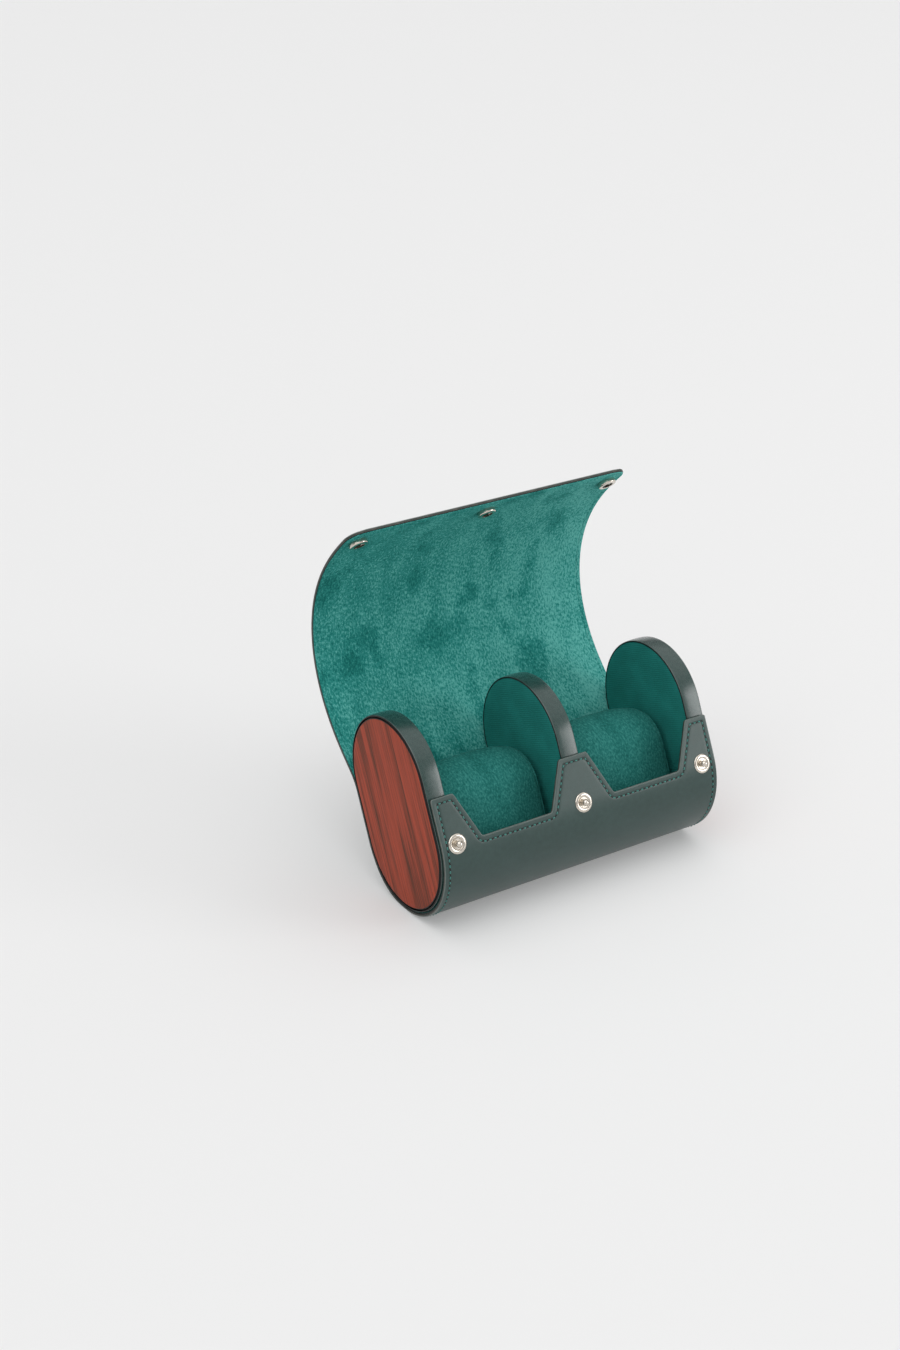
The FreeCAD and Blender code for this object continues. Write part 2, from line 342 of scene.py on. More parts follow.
@dataclass(frozen=True)
class Suede:
    """Brushed suede: short nap that is light or dark by the way it was last stroked. Where its light gradient
    is set, painted light makes it lighter towards the right end and towards the hinge.
    """

    name: str
    dark: Colour = (0.001, 0.110, 0.096, 1.0)
    middle: Colour = (0.018, 0.230, 0.204, 1.0)
    light: Colour = (0.120, 0.450, 0.405, 1.0)
    patch: float = 0.026
    stroke: float = 0.012
    fibre: float = 0.0009
    contrast: float = 1.0
    # Painted light: slopes of the colour across and along the sheet, lighter towards the right end and
    # towards the hinge.
    lay: tuple[float, float] = (1.6, -0.9)
    lay_middle: float = 0.08
    sheen: float = 0.12

    def material(self) -> bpy.types.Material:
        """Makes the material."""
        tree = ShaderTree(bpy.data.materials.new(self.name))
        patch = tree.step(tree.noise(tree.flat(1.0, 0.75, 22.0), self.patch, 3.0, 0.5), 0.36, 0.48)
        stroke = tree.step(tree.noise(tree.flat(1.0, 0.42, 24.0), self.stroke, 3.0, 0.6), 0.34, 0.68)
        tuft = tree.noise(tree.flat(1.0, 0.6, -18.0), self.fibre * 2.4, 3.0, 0.7)
        fibre = tree.noise(tree.flat(1.0, 0.55, 12.0), self.fibre, 3.0, 0.75)
        nap = patch * 0.30 + stroke * 0.20 + 0.22
        fuzz = (tuft - 0.5) * 0.45 + (fibre - 0.5) * 2.6
        across, along = (tree.node("ShaderNodeSeparateXYZ", None, {0: tree.flat()}, axis) for axis in "XY")
        # Painted light gradient: lighter towards the right end and towards the hinge.
        lay = across * self.lay[0] + (along - self.lay_middle) * self.lay[1]
        shade = (nap - 0.5) * self.contrast + fuzz + lay + 0.52
        stops = [(0.0, self.dark), (0.5, self.middle), (1.0, self.light)]
        colour = tree.node("ShaderNodeValToRGB", {"stops": stops}, {"Fac": shade})
        return tree.finish(
            {
                "Base Color": colour,
                "Roughness": 0.93 - nap * 0.06,
                "Normal": tree.bump(fibre * 0.6 + tuft * 0.4, 0.00022, 0.8),
                "Specular IOR Level": 0.2,
                "Sheen Weight": self.sheen,
                "Sheen Roughness": 0.45,
                "Sheen Tint": self.light,
            }
        )


@dataclass(frozen=True)
class RibbedSuede:
    """Close suede cloth with a fine rib across it."""

    name: str
    dark: Colour = (0.003, 0.105, 0.092, 1.0)
    light: Colour = (0.026, 0.290, 0.258, 1.0)
    rib: float = 0.0010
    fibre: float = 0.0004

    def material(self) -> bpy.types.Material:
        """Makes the material."""
        tree = ShaderTree(bpy.data.materials.new(self.name))
        wave = tree.node(
            "ShaderNodeTexWave",
            {"wave_type": "BANDS", "bands_direction": "Y", "wave_profile": "SIN"},
            {
                "Vector": tree.flat(),
                "Scale": BAND_PERIOD / self.rib,
                "Distortion": 1.6,
                "Detail": 2.0,
                "Detail Scale": 2.0,
            },
            "Fac",
        )
        fibre = tree.noise(tree.flat(0.6, 1.0), self.fibre, 3.0, 0.7)
        cloud = tree.step(tree.noise(tree.flat(), 0.018, 3.0), 0.35, 0.68)
        shade = cloud * 0.25 + wave * 0.28 + fibre * 1.1 - 0.29
        return tree.finish(
            {
                "Base Color": tree.mix(shade, self.dark, self.light),
                "Roughness": 0.95 - cloud * 0.05,
                "Normal": tree.bump(wave * 0.5 + fibre * 0.5, 0.00012, 0.7),
                "Specular IOR Level": 0.2,
                "Sheen Weight": 0.2,
                "Sheen Roughness": 0.5,
                "Sheen Tint": self.light,
            }
        )


@dataclass(frozen=True)
class Rosewood:
    """Satin veneer with dark streaks along the panel."""

    name: str
    red: Colour = (0.440, 0.068, 0.033, 1.0)
    brown: Colour = (0.255, 0.050, 0.026, 1.0)
    streak: Colour = (0.095, 0.034, 0.020, 1.0)
    band: float = 0.0075
    vein: float = 0.0011

    def material(self) -> bpy.types.Material:
        """Makes the material."""
        tree = ShaderTree(bpy.data.materials.new(self.name))
        drift = tree.noise(tree.flat(0.5, 0.12), 0.02, 2.0)
        band = tree.noise(tree.flat(1.0, 0.035, 1.5), self.band, 3.0, 0.5)
        vein = tree.noise(tree.flat(1.0, 0.02, 1.5), self.vein, 3.0, 0.6)
        pore = tree.noise(tree.flat(1.0, 0.05, 1.5), self.vein * 0.3, 2.0, 0.6)
        dark = tree.step(band + (drift - 0.5) * 0.2, 0.49, 0.58)
        lines = tree.step(vein, 0.50, 0.62)
        ground = tree.mix(tree.step(vein, 0.3, 0.6) * 0.6 + lines * 0.2, self.red, self.brown)
        shade = dark * 0.50 + lines * dark * 0.25 + lines * 0.34 + tree.step(pore, 0.5, 0.8) * 0.25
        return tree.finish(
            {
                "Base Color": tree.mix(shade, ground, self.streak),
                "Roughness": 0.40 + pore * 0.14 + dark * 0.05,
                "Normal": tree.bump(pore, 0.00003, 0.35),
                "Specular IOR Level": 0.12,
            }
        )


@dataclass(frozen=True)
class Metal:
    """Plated metal with a faint polish grain."""

    name: str
    colour: Colour = (0.66, 0.61, 0.54, 1.0)
    tarnish: Colour = (0.46, 0.41, 0.35, 1.0)
    roughness: float = 0.16

    def material(self) -> bpy.types.Material:
        """Makes the material."""
        tree = ShaderTree(bpy.data.materials.new(self.name))
        place = tree.solid()
        cloud = tree.step(tree.noise(place, 0.0016, 3.0), 0.40, 0.75)
        scratch = tree.noise(place, 0.00025, 2.0)
        return tree.finish(
            {
                "Base Color": tree.mix(cloud * 0.5, self.colour, self.tarnish),
                "Metallic": 1.0,
                "Roughness": self.roughness + cloud * 0.08 + (scratch - 0.5) * 0.06,
                "Normal": tree.bump(scratch, 0.000006, 0.3),
            }
        )


@dataclass(frozen=True)
class Thread:
    """Waxed twisted thread."""

    name: str
    colour: Colour = (0.024, 0.120, 0.105, 1.0)
    pale: Colour = (0.078, 0.270, 0.238, 1.0)

    def material(self) -> bpy.types.Material:
        """Makes the material."""
        tree = ShaderTree(bpy.data.materials.new(self.name))
        place = tree.flat(1.0, 1.0, 38.0)
        ply = tree.node(
            "ShaderNodeTexWave",
            {"wave_type": "BANDS", "bands_direction": "X"},
            {"Vector": place, "Scale": 520.0, "Distortion": 0.6},
            "Fac",
        )
        fluff = tree.noise(place, 0.0009, 2.0)
        return tree.finish(
            {
                "Base Color": tree.mix(ply * 0.6 + fluff * 0.4, self.colour, self.pale),
                "Roughness": 0.62 + fluff * 0.2,
                "Normal": tree.bump(ply, 0.00006, 0.6),
            }
        )


@dataclass(frozen=True)
class Fibreboard:
    """Pressed board, sealed dark where it shows in a groove."""

    name: str
    colour: Colour = (0.012, 0.010, 0.009, 1.0)
    fleck: Colour = (0.034, 0.026, 0.020, 1.0)

    def material(self) -> bpy.types.Material:
        """Makes the material."""
        tree = ShaderTree(bpy.data.materials.new(self.name))
        flecks = tree.noise(tree.solid(), 0.0006, 3.0, 0.7)
        return tree.finish(
            {
                "Base Color": tree.mix(tree.step(flecks, 0.5, 0.75), self.colour, self.fleck),
                "Roughness": 0.7 + flecks * 0.2,
                "Normal": tree.bump(flecks, 0.00008, 0.5),
            }
        )


class Finish(Enum):
    """Every finish on the roll."""

    LEATHER = Leather("leather")
    BAND = Leather("band_leather", roughness=0.27, coat=0.45)
    EDGE = EdgePaint("edge_paint_and_shade")
    CUT = EdgePaint("cut_edge", (0.045, 0.048, 0.042, 1.0), (0.110, 0.104, 0.088, 1.0))
    FLAP_SUEDE = Suede("flap_suede")
    TROUGH_SUEDE = Suede(
        "trough_suede",
        (0.002, 0.060, 0.052, 1.0),
        (0.006, 0.105, 0.092, 1.0),
        (0.028, 0.180, 0.160, 1.0),
        lay=(0.0, 0.0),
    )
    CUSHION_SUEDE = Suede(
        "cushion_suede",
        (0.003, 0.078, 0.068, 1.0),
        (0.010, 0.132, 0.116, 1.0),
        (0.040, 0.225, 0.200, 1.0),
        contrast=0.6,
        lay=(0.0, 0.0),
    )
    BOARD_SUEDE = RibbedSuede("board_suede")
    ROSEWOOD = Rosewood("rosewood")
    NICKEL = Metal("nickel")
    SPRING = Metal("spring_wire", (0.72, 0.72, 0.72, 1.0), (0.5, 0.5, 0.5, 1.0), 0.22)
    RIVET = Metal("rivet_steel", (0.55, 0.53, 0.50, 1.0), (0.42, 0.39, 0.36, 1.0), 0.34)
    THREAD = Thread("thread")
    BOARD = Fibreboard("fibreboard")


class FinishShelf:
    """Makes each finish's material once."""

    def __init__(self) -> None:
        """Starts with no material made."""
        self.made: dict[Finish, bpy.types.Material] = {}

    def get(self, finish: Finish) -> bpy.types.Material:
        """The material of a finish."""
        if finish not in self.made:
            self.made[finish] = finish.value.material()
        return self.made[finish]


# Meshes


@dataclass
class Shape:
    """Points and faces of one piece, gathered before its object is made."""

    name: str
    finishes: list[bpy.types.Material]
    points: list[np.ndarray] = field(default_factory=list)
    rims: list[np.ndarray] = field(default_factory=list)
    faces: list[tuple[int, ...]] = field(default_factory=list)
    corners: list[np.ndarray] = field(default_factory=list)
    slots: list[int] = field(default_factory=list)
    count: int = 0

    def add_points(self, points: np.ndarray, rim: np.ndarray | float = 0.0) -> np.ndarray:
        """Adds points.

        Args:
            points: The points, in any grid, with their coordinates last.
            rim: How near each is to an edge, where the leather gets a pale painted highlight with some wear,
                from 0 to 1.

        Returns:
            Their numbers, in the same grid.
        """
        first = self.count
        points = np.asarray(points, float)
        grid = points.shape[:-1]
        self.rims.append(np.broadcast_to(rim, grid).ravel())
        self.points.append(points.reshape(-1, 3))
        self.count += len(self.points[-1])
        return np.arange(first, self.count).reshape(grid)

    def add_face(self, corners: Sequence[int], flat: np.ndarray, slot: int) -> None:
        """Adds a face.

        Args:
            corners: Numbers of its points.
            flat: The flat pattern's coordinates at each corner.
            slot: Number of its finish.
        """
        self.faces.append(tuple(int(corner) for corner in corners))
        self.corners.append(np.asarray(flat, float))
        self.slots.append(slot)

    def add_grid(
        self,
        numbers: np.ndarray,
        flat: np.ndarray,
        slots: np.ndarray | int,
        closed: bool = False,
    ) -> None:
        """Adds the quads of a grid of points.

        Args:
            numbers: The points' numbers, in rows.
            flat: The flat pattern's coordinates; a closed grid has one more row of them.
            slots: Number of the finish, for all quads or for each.
            closed: Whether the last row joins the first.
        """
        rows, columns = numbers.shape
        for i in range(rows if closed else rows - 1):
            j = (i + 1) % rows
            for k in range(columns - 1):
                quad = (numbers[i, k], numbers[i, k + 1], numbers[j, k + 1], numbers[j, k])
                places = (flat[i, k], flat[i, k + 1], flat[i + 1, k + 1], flat[i + 1, k])
                slot = slots if isinstance(slots, int) else int(slots[i, k])
                self.add_face(quad, places, slot)

    def make(self, crease: float = 55.0, merge: float = 0.0) -> bpy.types.Object:
        """Makes the object, smooth except at creases.

        Args:
            crease: Least angle of a sharp edge, in degrees.
            merge: Distance within which points become one.

        Returns:
            The new object, in the scene.
        """
        mesh = bpy.data.meshes.new(self.name)
        mesh.from_pydata(np.concatenate(self.points).tolist(), [], self.faces)
        for finish in self.finishes:
            mesh.materials.append(finish)
        mesh.polygons.foreach_set("material_index", self.slots)
        layer = mesh.uv_layers.new(name=FLAT_MAP)
        layer.uv.foreach_set("vector", np.concatenate(self.corners).astype(np.float32).ravel())
        # Nearness to the edges, where the leather gets a pale painted highlight with some wear.
        worn = mesh.attributes.new(RIM, "FLOAT", "POINT")
        worn.data.foreach_set("value", np.concatenate(self.rims).astype(np.float32))
        shape = bmesh.new()
        shape.from_mesh(mesh)
        if merge:
            bmesh.ops.remove_doubles(shape, verts=shape.verts, dist=merge)
            bmesh.ops.dissolve_degenerate(shape, edges=shape.edges, dist=merge)
        bmesh.ops.recalc_face_normals(shape, faces=shape.faces)
        shape.to_mesh(mesh)
        shape.free()
        mesh.shade_smooth()
        mesh.set_sharp_from_angle(angle=math.radians(crease))
        return placed(self.name, mesh)


# Sizes


@dataclass(frozen=True)
class Roll:
    """Sizes of the roll, in metres, as its construction has them."""

    half_length: float
    half_sheet: float
    board_radius: float = 0.0335
    half_straight: float = 0.0145
    board_thickness: float = 0.010
    edge_band: float = 0.0009
    facing: float = 0.0006
    wood: float = 0.0018
    wood_groove: float = 0.0005
    wood_proud: float = 0.0001
    lean: float = math.radians(25.25)
    leather: float = 0.0012
    trough_lining: float = 0.0010
    flap_lining: float = 0.0007
    base_reach: float = 0.0184
    base_bend: float = 0.0060
    tab_top: float = 0.0065
    notch_bottom: float = -0.0162
    notch_top_inset: float = 0.0029
    notch_bottom_inset: float = 0.0129
    notch_corner: float = 0.0020
    tab_corner: float = 0.0011
    strips: int = 7
    strip_length: float = 0.0135
    flap_length: float = 0.154
    flap_lean: float = math.radians(48.5)
    flap_corner: float = 0.0085
    snap_spread: float = 0.071
    snap_place: float = 0.143
    socket_hole: float = 0.0033

    @property
    def wrap(self) -> float:
        """Thickness of the trough's sheet."""
        return self.leather + self.trough_lining

    @property
    def trough_radius(self) -> float:
        """Radius of the trough's outside."""
        return self.board_radius + self.wrap

    @property
    def base_angle(self) -> float:
        """Half the turn between the base and the rise behind it."""
        return math.atan(self.base_reach / self.trough_radius)

    @property
    def base_flat(self) -> float:
        """Depth of the flat strip that the roll stands on."""
        return (self.trough_radius - self.base_bend) * math.tan(self.base_angle)

    @property
    def board_inner(self) -> float:
        """Place of an end board's inner face."""
        return self.half_length - self.board_thickness

    @property
    def bay_middle(self) -> float:
        """Place of the middle of a bay."""
        return (self.board_inner + self.board_thickness / 2) / 2

    @property
    def bay_length(self) -> float:
        """Length of a bay."""
        return self.board_inner - self.board_thickness / 2

    def leaning(self, x: np.ndarray, u: np.ndarray, v: np.ndarray) -> np.ndarray:
        """Points of the leaning frame in the roll's own frame.

        Args:
            x: Places along the roll.
            u: Places up its long axis, from the middle of the boards.
            v: Places to its front.

        Returns:
            Points, with their coordinates last.
        """
        x, u, v = np.broadcast_arrays(x, u, v)
        up = u + self.half_straight
        y = up * math.sin(self.lean) - v * math.cos(self.lean) - self.base_flat / 2
        z = up * math.cos(self.lean) + v * math.sin(self.lean) + self.trough_radius
        return np.stack([x, y, z], -1)


class SheetPath:
    """Course of the one long sheet of leather: tab tops, underside, back and flap.

    Distances run along its suede face from the hinge: below 0 on the trough and above 0 on the flap.
    """

    step = 0.00025
    fine = 600
    soft_bend = 0.030
    hinge_before = 0.006
    hinge_after = 0.009
    settle = 0.032

    def __init__(self, roll: Roll) -> None:
        """Works out the course.

        Args:
            roll: The roll's sizes.
        """
        self.roll = roll
        trough, angles = self.trough_course()
        flap = np.arange(self.step, roll.flap_length + self.step, self.step)
        self.distance = np.concatenate([trough, flap])
        before = np.concatenate([angles, np.full(len(flap), roll.lean)])
        after = roll.flap_lean * np.cos(math.pi * np.clip(self.distance, 0, None) / roll.flap_length)
        share = smooth_step(self.distance, -self.hinge_before, self.hinge_after)
        self.angle = before + share * (after - before)
        self.start = float(self.distance[0])
        self.across_y, self.across_z = self.integrate(self.angle)
        self.anchor(after)

    def trough_course(self) -> TwoArrays:
        """Distances and headings of the trough, as arcs and straight stretches.

        Returns:
            Distances from the hinge, and headings from upright.
        """
        roll = self.roll
        front = math.pi + roll.lean
        ground = math.pi / 2
        rise = ground - 2 * roll.base_angle
        bend = self.soft_bend - roll.wrap
        level = (roll.trough_radius - self.soft_bend) * math.tan(roll.base_angle)
        stretches = [
            (roll.tab_top + roll.half_straight, front, front),
            (roll.board_radius * (front - ground), front, ground),
            (level, ground, ground),
            (bend * (ground - rise), ground, rise),
            (level, rise, rise),
            (roll.board_radius * (rise - roll.lean), rise, roll.lean),
            (2 * roll.half_straight, roll.lean, roll.lean),
        ]
        places = [0.0]
        headings = [front]
        for length, first, last in stretches:
            count = math.ceil(length / self.step)
            for i in range(1, count + 1):
                headings.append(first + (last - first) * i / count)
                places.append(places[-1] + length / count)
        return np.array(places) - places[-1], np.array(headings)

    def integrate(self, angle: np.ndarray) -> TwoArrays:
        """Follows the headings from the sheet's start.

        Args:
            angle: Headings from upright, at each distance.

        Returns:
            Places back and up, from the start.
        """
        steps = np.diff(self.distance)
        middle = (angle[1:] + angle[:-1]) / 2
        back = np.concatenate([[0.0], np.cumsum(np.sin(middle) * steps)])
        up = np.concatenate([[0.0], np.cumsum(np.cos(middle) * steps)])
        return back, up

    def anchor(self, flap_angle: np.ndarray) -> None:
        """Sets the trough on its boards and the flap on its hinge.

        Args:
            flap_angle: Headings that the flap has in the construction.
        """
        roll = self.roll
        place = roll.leaning(0.0, roll.half_straight - self.hinge_before, -roll.board_radius)
        self.across_y += place[1] - np.interp(-self.hinge_before, self.distance, self.across_y)
        self.across_z += place[2] - np.interp(-self.hinge_before, self.distance, self.across_z)
        back, up = self.integrate(flap_angle)
        hinge = roll.leaning(0.0, roll.half_straight, -roll.trough_radius)
        thickness = roll.leather + roll.flap_lining
        reach_y = back[-1] - np.interp(0.0, self.distance, back)
        reach_z = up[-1] - np.interp(0.0, self.distance, up)
        tip_y = hinge[1] - math.cos(roll.flap_lean) * thickness + reach_y
        tip_z = hinge[2] + math.sin(roll.flap_lean) * thickness + reach_z
        share = smooth_step(self.distance, -self.hinge_before, self.settle)
        self.across_y += share * (tip_y - self.across_y[-1])
        self.across_z += share * (tip_z - self.across_z[-1])

    def thickness(self, along: np.ndarray) -> np.ndarray:
        """Thickness of leather and lining together."""
        roll = self.roll
        share = smooth_step(np.asarray(along), -self.hinge_before, self.hinge_after)
        return roll.leather + roll.trough_lining + share * (roll.flap_lining - roll.trough_lining)

    def place(self, across: np.ndarray, along: np.ndarray, depth: np.ndarray) -> np.ndarray:
        """Points of the sheet.

        Args:
            across: Places across the sheet.
            along: Distances along it from the hinge.
            depth: Depths from its suede face towards its leather face.

        Returns:
            Points in the roll's own frame, with their coordinates last.
        """
        across, along, depth = np.broadcast_arrays(across, along, depth)
        angle = np.interp(along, self.distance, self.angle)
        y = np.interp(along, self.distance, self.across_y) + np.cos(angle) * depth
        z = np.interp(along, self.distance, self.across_z) - np.sin(angle) * depth
        return np.stack([across, y, z], -1)

    def rows(self, start: float, end: float, longest: float, turn: float) -> np.ndarray:
        """Distances from start to end, closer where the sheet turns.

        Args:
            start: First distance.
            end: Last distance.
            longest: Longest step.
            turn: Largest turn within a step, in degrees.

        Returns:
            The distances.
        """
        fine = np.linspace(start, end, self.fine)
        angle = np.interp(fine, self.distance, self.angle)
        effort = np.abs(np.gradient(angle, fine)) / math.radians(turn) + 1.0 / longest
        total = np.concatenate([[0.0], np.cumsum((effort[1:] + effort[:-1]) / 2 * np.diff(fine))])
        count = math.ceil(total[-1])
        return np.interp(np.linspace(0, total[-1], count + 1), total, fine)


# Leather sheet


class Layer(Enum):
    """The two layers of the sheet, by the word for them in their nodes' names."""

    LEATHER = "leather"
    LINING = "lining"


@dataclass
class Panel:
    """Flat grid of a stretch of the sheet: rows along it and columns across it."""

    across: np.ndarray
    along: np.ndarray
    edge: np.ndarray
    first_is_edge: bool = False
    last_is_edge: bool = False


@dataclass
class Sheet:
    """Flat pattern of the leather sheet and its lining, with the slabs and stitches that follow it."""

    roll: Roll
    path: SheetPath
    edge_round: float = 0.00046
    # Width of the pale painted highlight, with some wear, along the sheet's edges.
    rim_width: float = 0.0006
    lining_inset: float = 0.00035
    lining_round: float = 0.00030
    seam_inset: float = 0.0027
    seam_dip: float = 0.00018
    seam_width: float = 0.00042
    nap_dip: float = 0.00035
    seam_row: float = 0.00015
    widest_column: float = 0.0045
    least_column: float = 0.0012
    slope_columns: int = 22
    slope_reach: tuple[float, float] = (0.0032, 0.0016)
    front_ladders: float = 2.5
    front_rows: int = 10
    tail_rows: int = 6
    trough_rows: tuple[float, float] = (0.0035, 3.5)
    strip_rows: tuple[float, float] = (0.0016, 3.0)
    end_rows: tuple[float, float] = (0.0022, 3.0)
    corner_points: int = 9
    edge_points: int = 6001
    seam_points: int = 1500
    turn_points: int = 12
    ladder: tuple[float, ...] = (
        *(0, 0.00008, 0.0002, 0.00034, 0.00048, 0.0007, 0.0018),
        *(0.0022, 0.00245, 0.0027, 0.00295, 0.0032, 0.0036, 0.0046),
    )

    def front_edge(self) -> TwoArrays:
        """Front edge of the sheet, with its tabs and two finger notches.

        Returns:
            Places across the sheet and distances along it, finely spaced.
        """
        roll = self.roll
        top = self.path.start
        bottom = top + roll.tab_top - roll.notch_bottom
        half_top = roll.bay_length / 2 - roll.notch_top_inset
        half_bottom = roll.bay_length / 2 - roll.notch_bottom_inset
        corners = [(-roll.half_sheet, top, 0.0)]
        for middle in (-roll.bay_middle, roll.bay_middle):
            corners += [
                (middle - half_top, top, roll.tab_corner),
                (middle - half_bottom, bottom, roll.notch_corner),
                (middle + half_bottom, bottom, roll.notch_corner),
                (middle + half_top, top, roll.tab_corner),
            ]
        corners.append((roll.half_sheet, top, 0.0))
        across, along = self.rounded(corners)
        fine = np.linspace(-roll.half_sheet, roll.half_sheet, self.edge_points)
        edge = np.interp(fine, across, along)
        inside = np.clip(roll.half_sheet - np.abs(fine), 0, roll.tab_corner)
        edge += roll.tab_corner - np.sqrt(roll.tab_corner**2 - (roll.tab_corner - inside) ** 2)
        return fine, edge

    @staticmethod
    def rounded(corners: list[tuple[float, float, float]]) -> TwoArrays:
        """Line through corners, each rounded with its own radius.

        Args:
            corners: Places across and along, and radii.

        Returns:
            Places across and along.
        """
        points = [corners[0][:2]]
        for before, corner, after in zip(corners, corners[1:], corners[2:]):
            middle = Vector(corner[:2])
            first = (Vector(before[:2]) - middle).normalized()
            last = (Vector(after[:2]) - middle).normalized()
            half = first.angle(last) / 2
            centre = middle + (first + last).normalized() * (corner[2] / math.sin(half))
            start = middle + first * (corner[2] / math.tan(half)) - centre
            end = middle + last * (corner[2] / math.tan(half)) - centre
            for share in np.linspace(0, 1, Sheet.corner_points):
                points.append(tuple(centre + start.slerp(end, share) * corner[2]))
        points.append(corners[-1][:2])
        line = np.array(points)
        return line[:, 0], line[:, 1]

    def flap_end(self) -> TwoArrays:
        """Free end of the flap, with its two round corners.

        Returns:
            Places across the sheet and distances along it, finely spaced.
        """
        roll = self.roll
        fine = np.linspace(-roll.half_sheet, roll.half_sheet, self.edge_points)
        inside = np.clip(roll.half_sheet - np.abs(fine), 0, roll.flap_corner)
        drop = roll.flap_corner - np.sqrt(roll.flap_corner**2 - (roll.flap_corner - inside) ** 2)
        return fine, roll.flap_length - drop

    @staticmethod
    def offset(line: TwoArrays, across: np.ndarray, inset: float, side: int) -> np.ndarray:
        """Line at an even distance inside an edge.

        Args:
            line: The edge, finely spaced.
            across: Places across the sheet.
            inset: Distance from the edge.
            side: 1 where the sheet lies at larger distances along, -1 where at smaller.

        Returns:
            Distances along the sheet.
        """
        places, edge = line
        found = side * np.interp(across, places, edge) + inset
        for i, place in enumerate(across):
            near = np.abs(places - place) < inset
            reach = np.sqrt(inset**2 - (places[near] - place) ** 2)
            found[i] = np.max(side * edge[near] + reach, initial=found[i])
        return side * found

    def columns(self, inset: float, extra: np.ndarray | None = None) -> np.ndarray:
        """Places of the grid's columns, close at both side edges.

        Args:
            inset: Distance that the piece stays inside the sheet's edge.
            extra: Places that get a column.

        Returns:
            The places, in order.
        """
        half = self.roll.half_sheet - inset
        sides = half - np.array(self.ladder)
        count = math.ceil(2 * sides[-1] / self.widest_column)
        middle = np.linspace(-sides[-1], sides[-1], count + 1)
        inner = middle[1:-1]
        if extra is not None:
            gaps = np.min(np.abs(inner[:, None] - extra), axis=1)
            inner = np.concatenate([extra, inner[gaps > self.least_column]])
        return np.sort(np.concatenate([-sides, inner, sides]))

    def side_distance(self, across: np.ndarray, inset: float) -> np.ndarray:
        """Distance from a piece's nearer side edge."""
        return self.roll.half_sheet - inset - np.abs(across)

    def trough_panel(self, end: float, inset: float) -> Panel:
        """Grid of the trough, from its notched front edge.

        Args:
            end: Distance along the sheet where the panel ends.
            inset: Distance that the piece stays inside the sheet's edge.

        Returns:
            The grid.
        """
        line = self.front_edge()
        roll = self.roll
        half_top = roll.bay_length / 2 - roll.notch_top_inset
        half_bottom = roll.bay_length / 2 - roll.notch_bottom_inset
        low, high = self.slope_reach
        slope = np.linspace(half_bottom - low, half_top + high, self.slope_columns)
        extra = []
        for middle in (-roll.bay_middle, roll.bay_middle):
            for side in (-1, 1):
                extra.append(middle + side * slope)
        across = self.columns(inset, np.concatenate(extra))
        rows = [self.offset(line, across, step + inset, 1) for step in self.ladder]
        block = self.path.start + roll.tab_top - roll.notch_bottom + self.front_ladders * self.ladder[-1]
        for share in np.linspace(0, 1, self.front_rows + 1)[1:]:
            rows.append(rows[len(self.ladder) - 1] * (1 - share) + block * share)
        rest = self.path.rows(block, end, *self.trough_rows)[1:]
        rest = np.insert(rest, len(rest) - 1, end - self.seam_row)
        rows += [np.full(len(across), place) for place in rest]
        along = np.array(rows)
        edge = np.full(along.shape, self.ladder[-1])
        edge[: len(self.ladder)] = np.array(self.ladder)[:, None]
        grid = np.broadcast_to(across, along.shape)
        edge = np.minimum(edge, self.side_distance(grid, inset))
        return Panel(grid, along, edge, first_is_edge=True)

    def strip_panel(self, start: float, end: float, inset: float) -> Panel:
        """Grid of a stretch of the sheet between two joins.

        Args:
            start: Distance along the sheet where the panel starts.
            end: Distance along the sheet where it ends.
            inset: Distance that the piece stays inside the sheet's edge.

        Returns:
            The grid.
        """
        across = self.columns(inset)
        rows = self.path.rows(start + self.seam_row, end - self.seam_row, *self.strip_rows)
        rows = np.concatenate([[start], rows, [end]])
        grid, along = np.meshgrid(across, rows)
        return Panel(grid, along, self.side_distance(grid, inset))

    def end_panel(self, start: float, inset: float) -> Panel:
        """Grid of the flap's last stretch, up to its free end.

        Args:
            start: Distance along the sheet where the panel starts.
            inset: Distance that the piece stays inside the sheet's edge.

        Returns:
            The grid.
        """
        line = self.flap_end()
        across = self.columns(inset)
        block = self.roll.flap_length - self.roll.flap_corner - 2 * self.ladder[-1]
        rest = self.path.rows(start + self.seam_row, block, *self.end_rows)
        rows = [np.full(len(across), place) for place in np.concatenate([[start], rest])]
        tail = [self.offset(line, across, step + inset, -1) for step in self.ladder]
        for share in np.linspace(0, 1, self.tail_rows + 1)[1:-1]:
            rows.append(block * (1 - share) + tail[-1] * share)
        rows += tail[::-1]
        along = np.array(rows)
        edge = np.full(along.shape, self.ladder[-1])
        edge[-len(self.ladder) :] = np.array(self.ladder)[::-1, None]
        grid = np.broadcast_to(across, along.shape)
        edge = np.minimum(edge, self.side_distance(grid, inset))
        return Panel(grid, along, edge, last_is_edge=True)

    @staticmethod
    def round_drop(edge: np.ndarray, radius: float) -> np.ndarray:
        """How far a rounded edge lies below its face."""
        inside = np.clip(edge, 0, radius)
        return radius - np.sqrt(np.clip(radius**2 - (radius - inside) ** 2, 0, None))

    def seam_groove(self, edge: np.ndarray, depth: float) -> np.ndarray:
        """Depth of the groove that the stitches pull along the edge."""
        return depth * np.exp(-(((edge - self.seam_inset) / self.seam_width) ** 2))

    def leather_slab(self, shape: Shape, panel: Panel) -> None:
        """Adds the leather layer of a panel: face, back and painted edges."""
        top = self.path.thickness(panel.along)
        groove = self.seam_groove(panel.edge, self.seam_dip)
        face = top - self.round_drop(panel.edge, self.edge_round) - groove
        self.slab(shape, panel, top - self.roll.leather, face)

    def lining_slab(self, shape: Shape, panel: Panel) -> None:
        """Adds the suede layer of a panel."""
        back = self.path.thickness(panel.along) - self.roll.leather
        face = self.round_drop(panel.edge, self.lining_round) + self.seam_groove(panel.edge, self.nap_dip)
        self.slab(shape, panel, back, face)

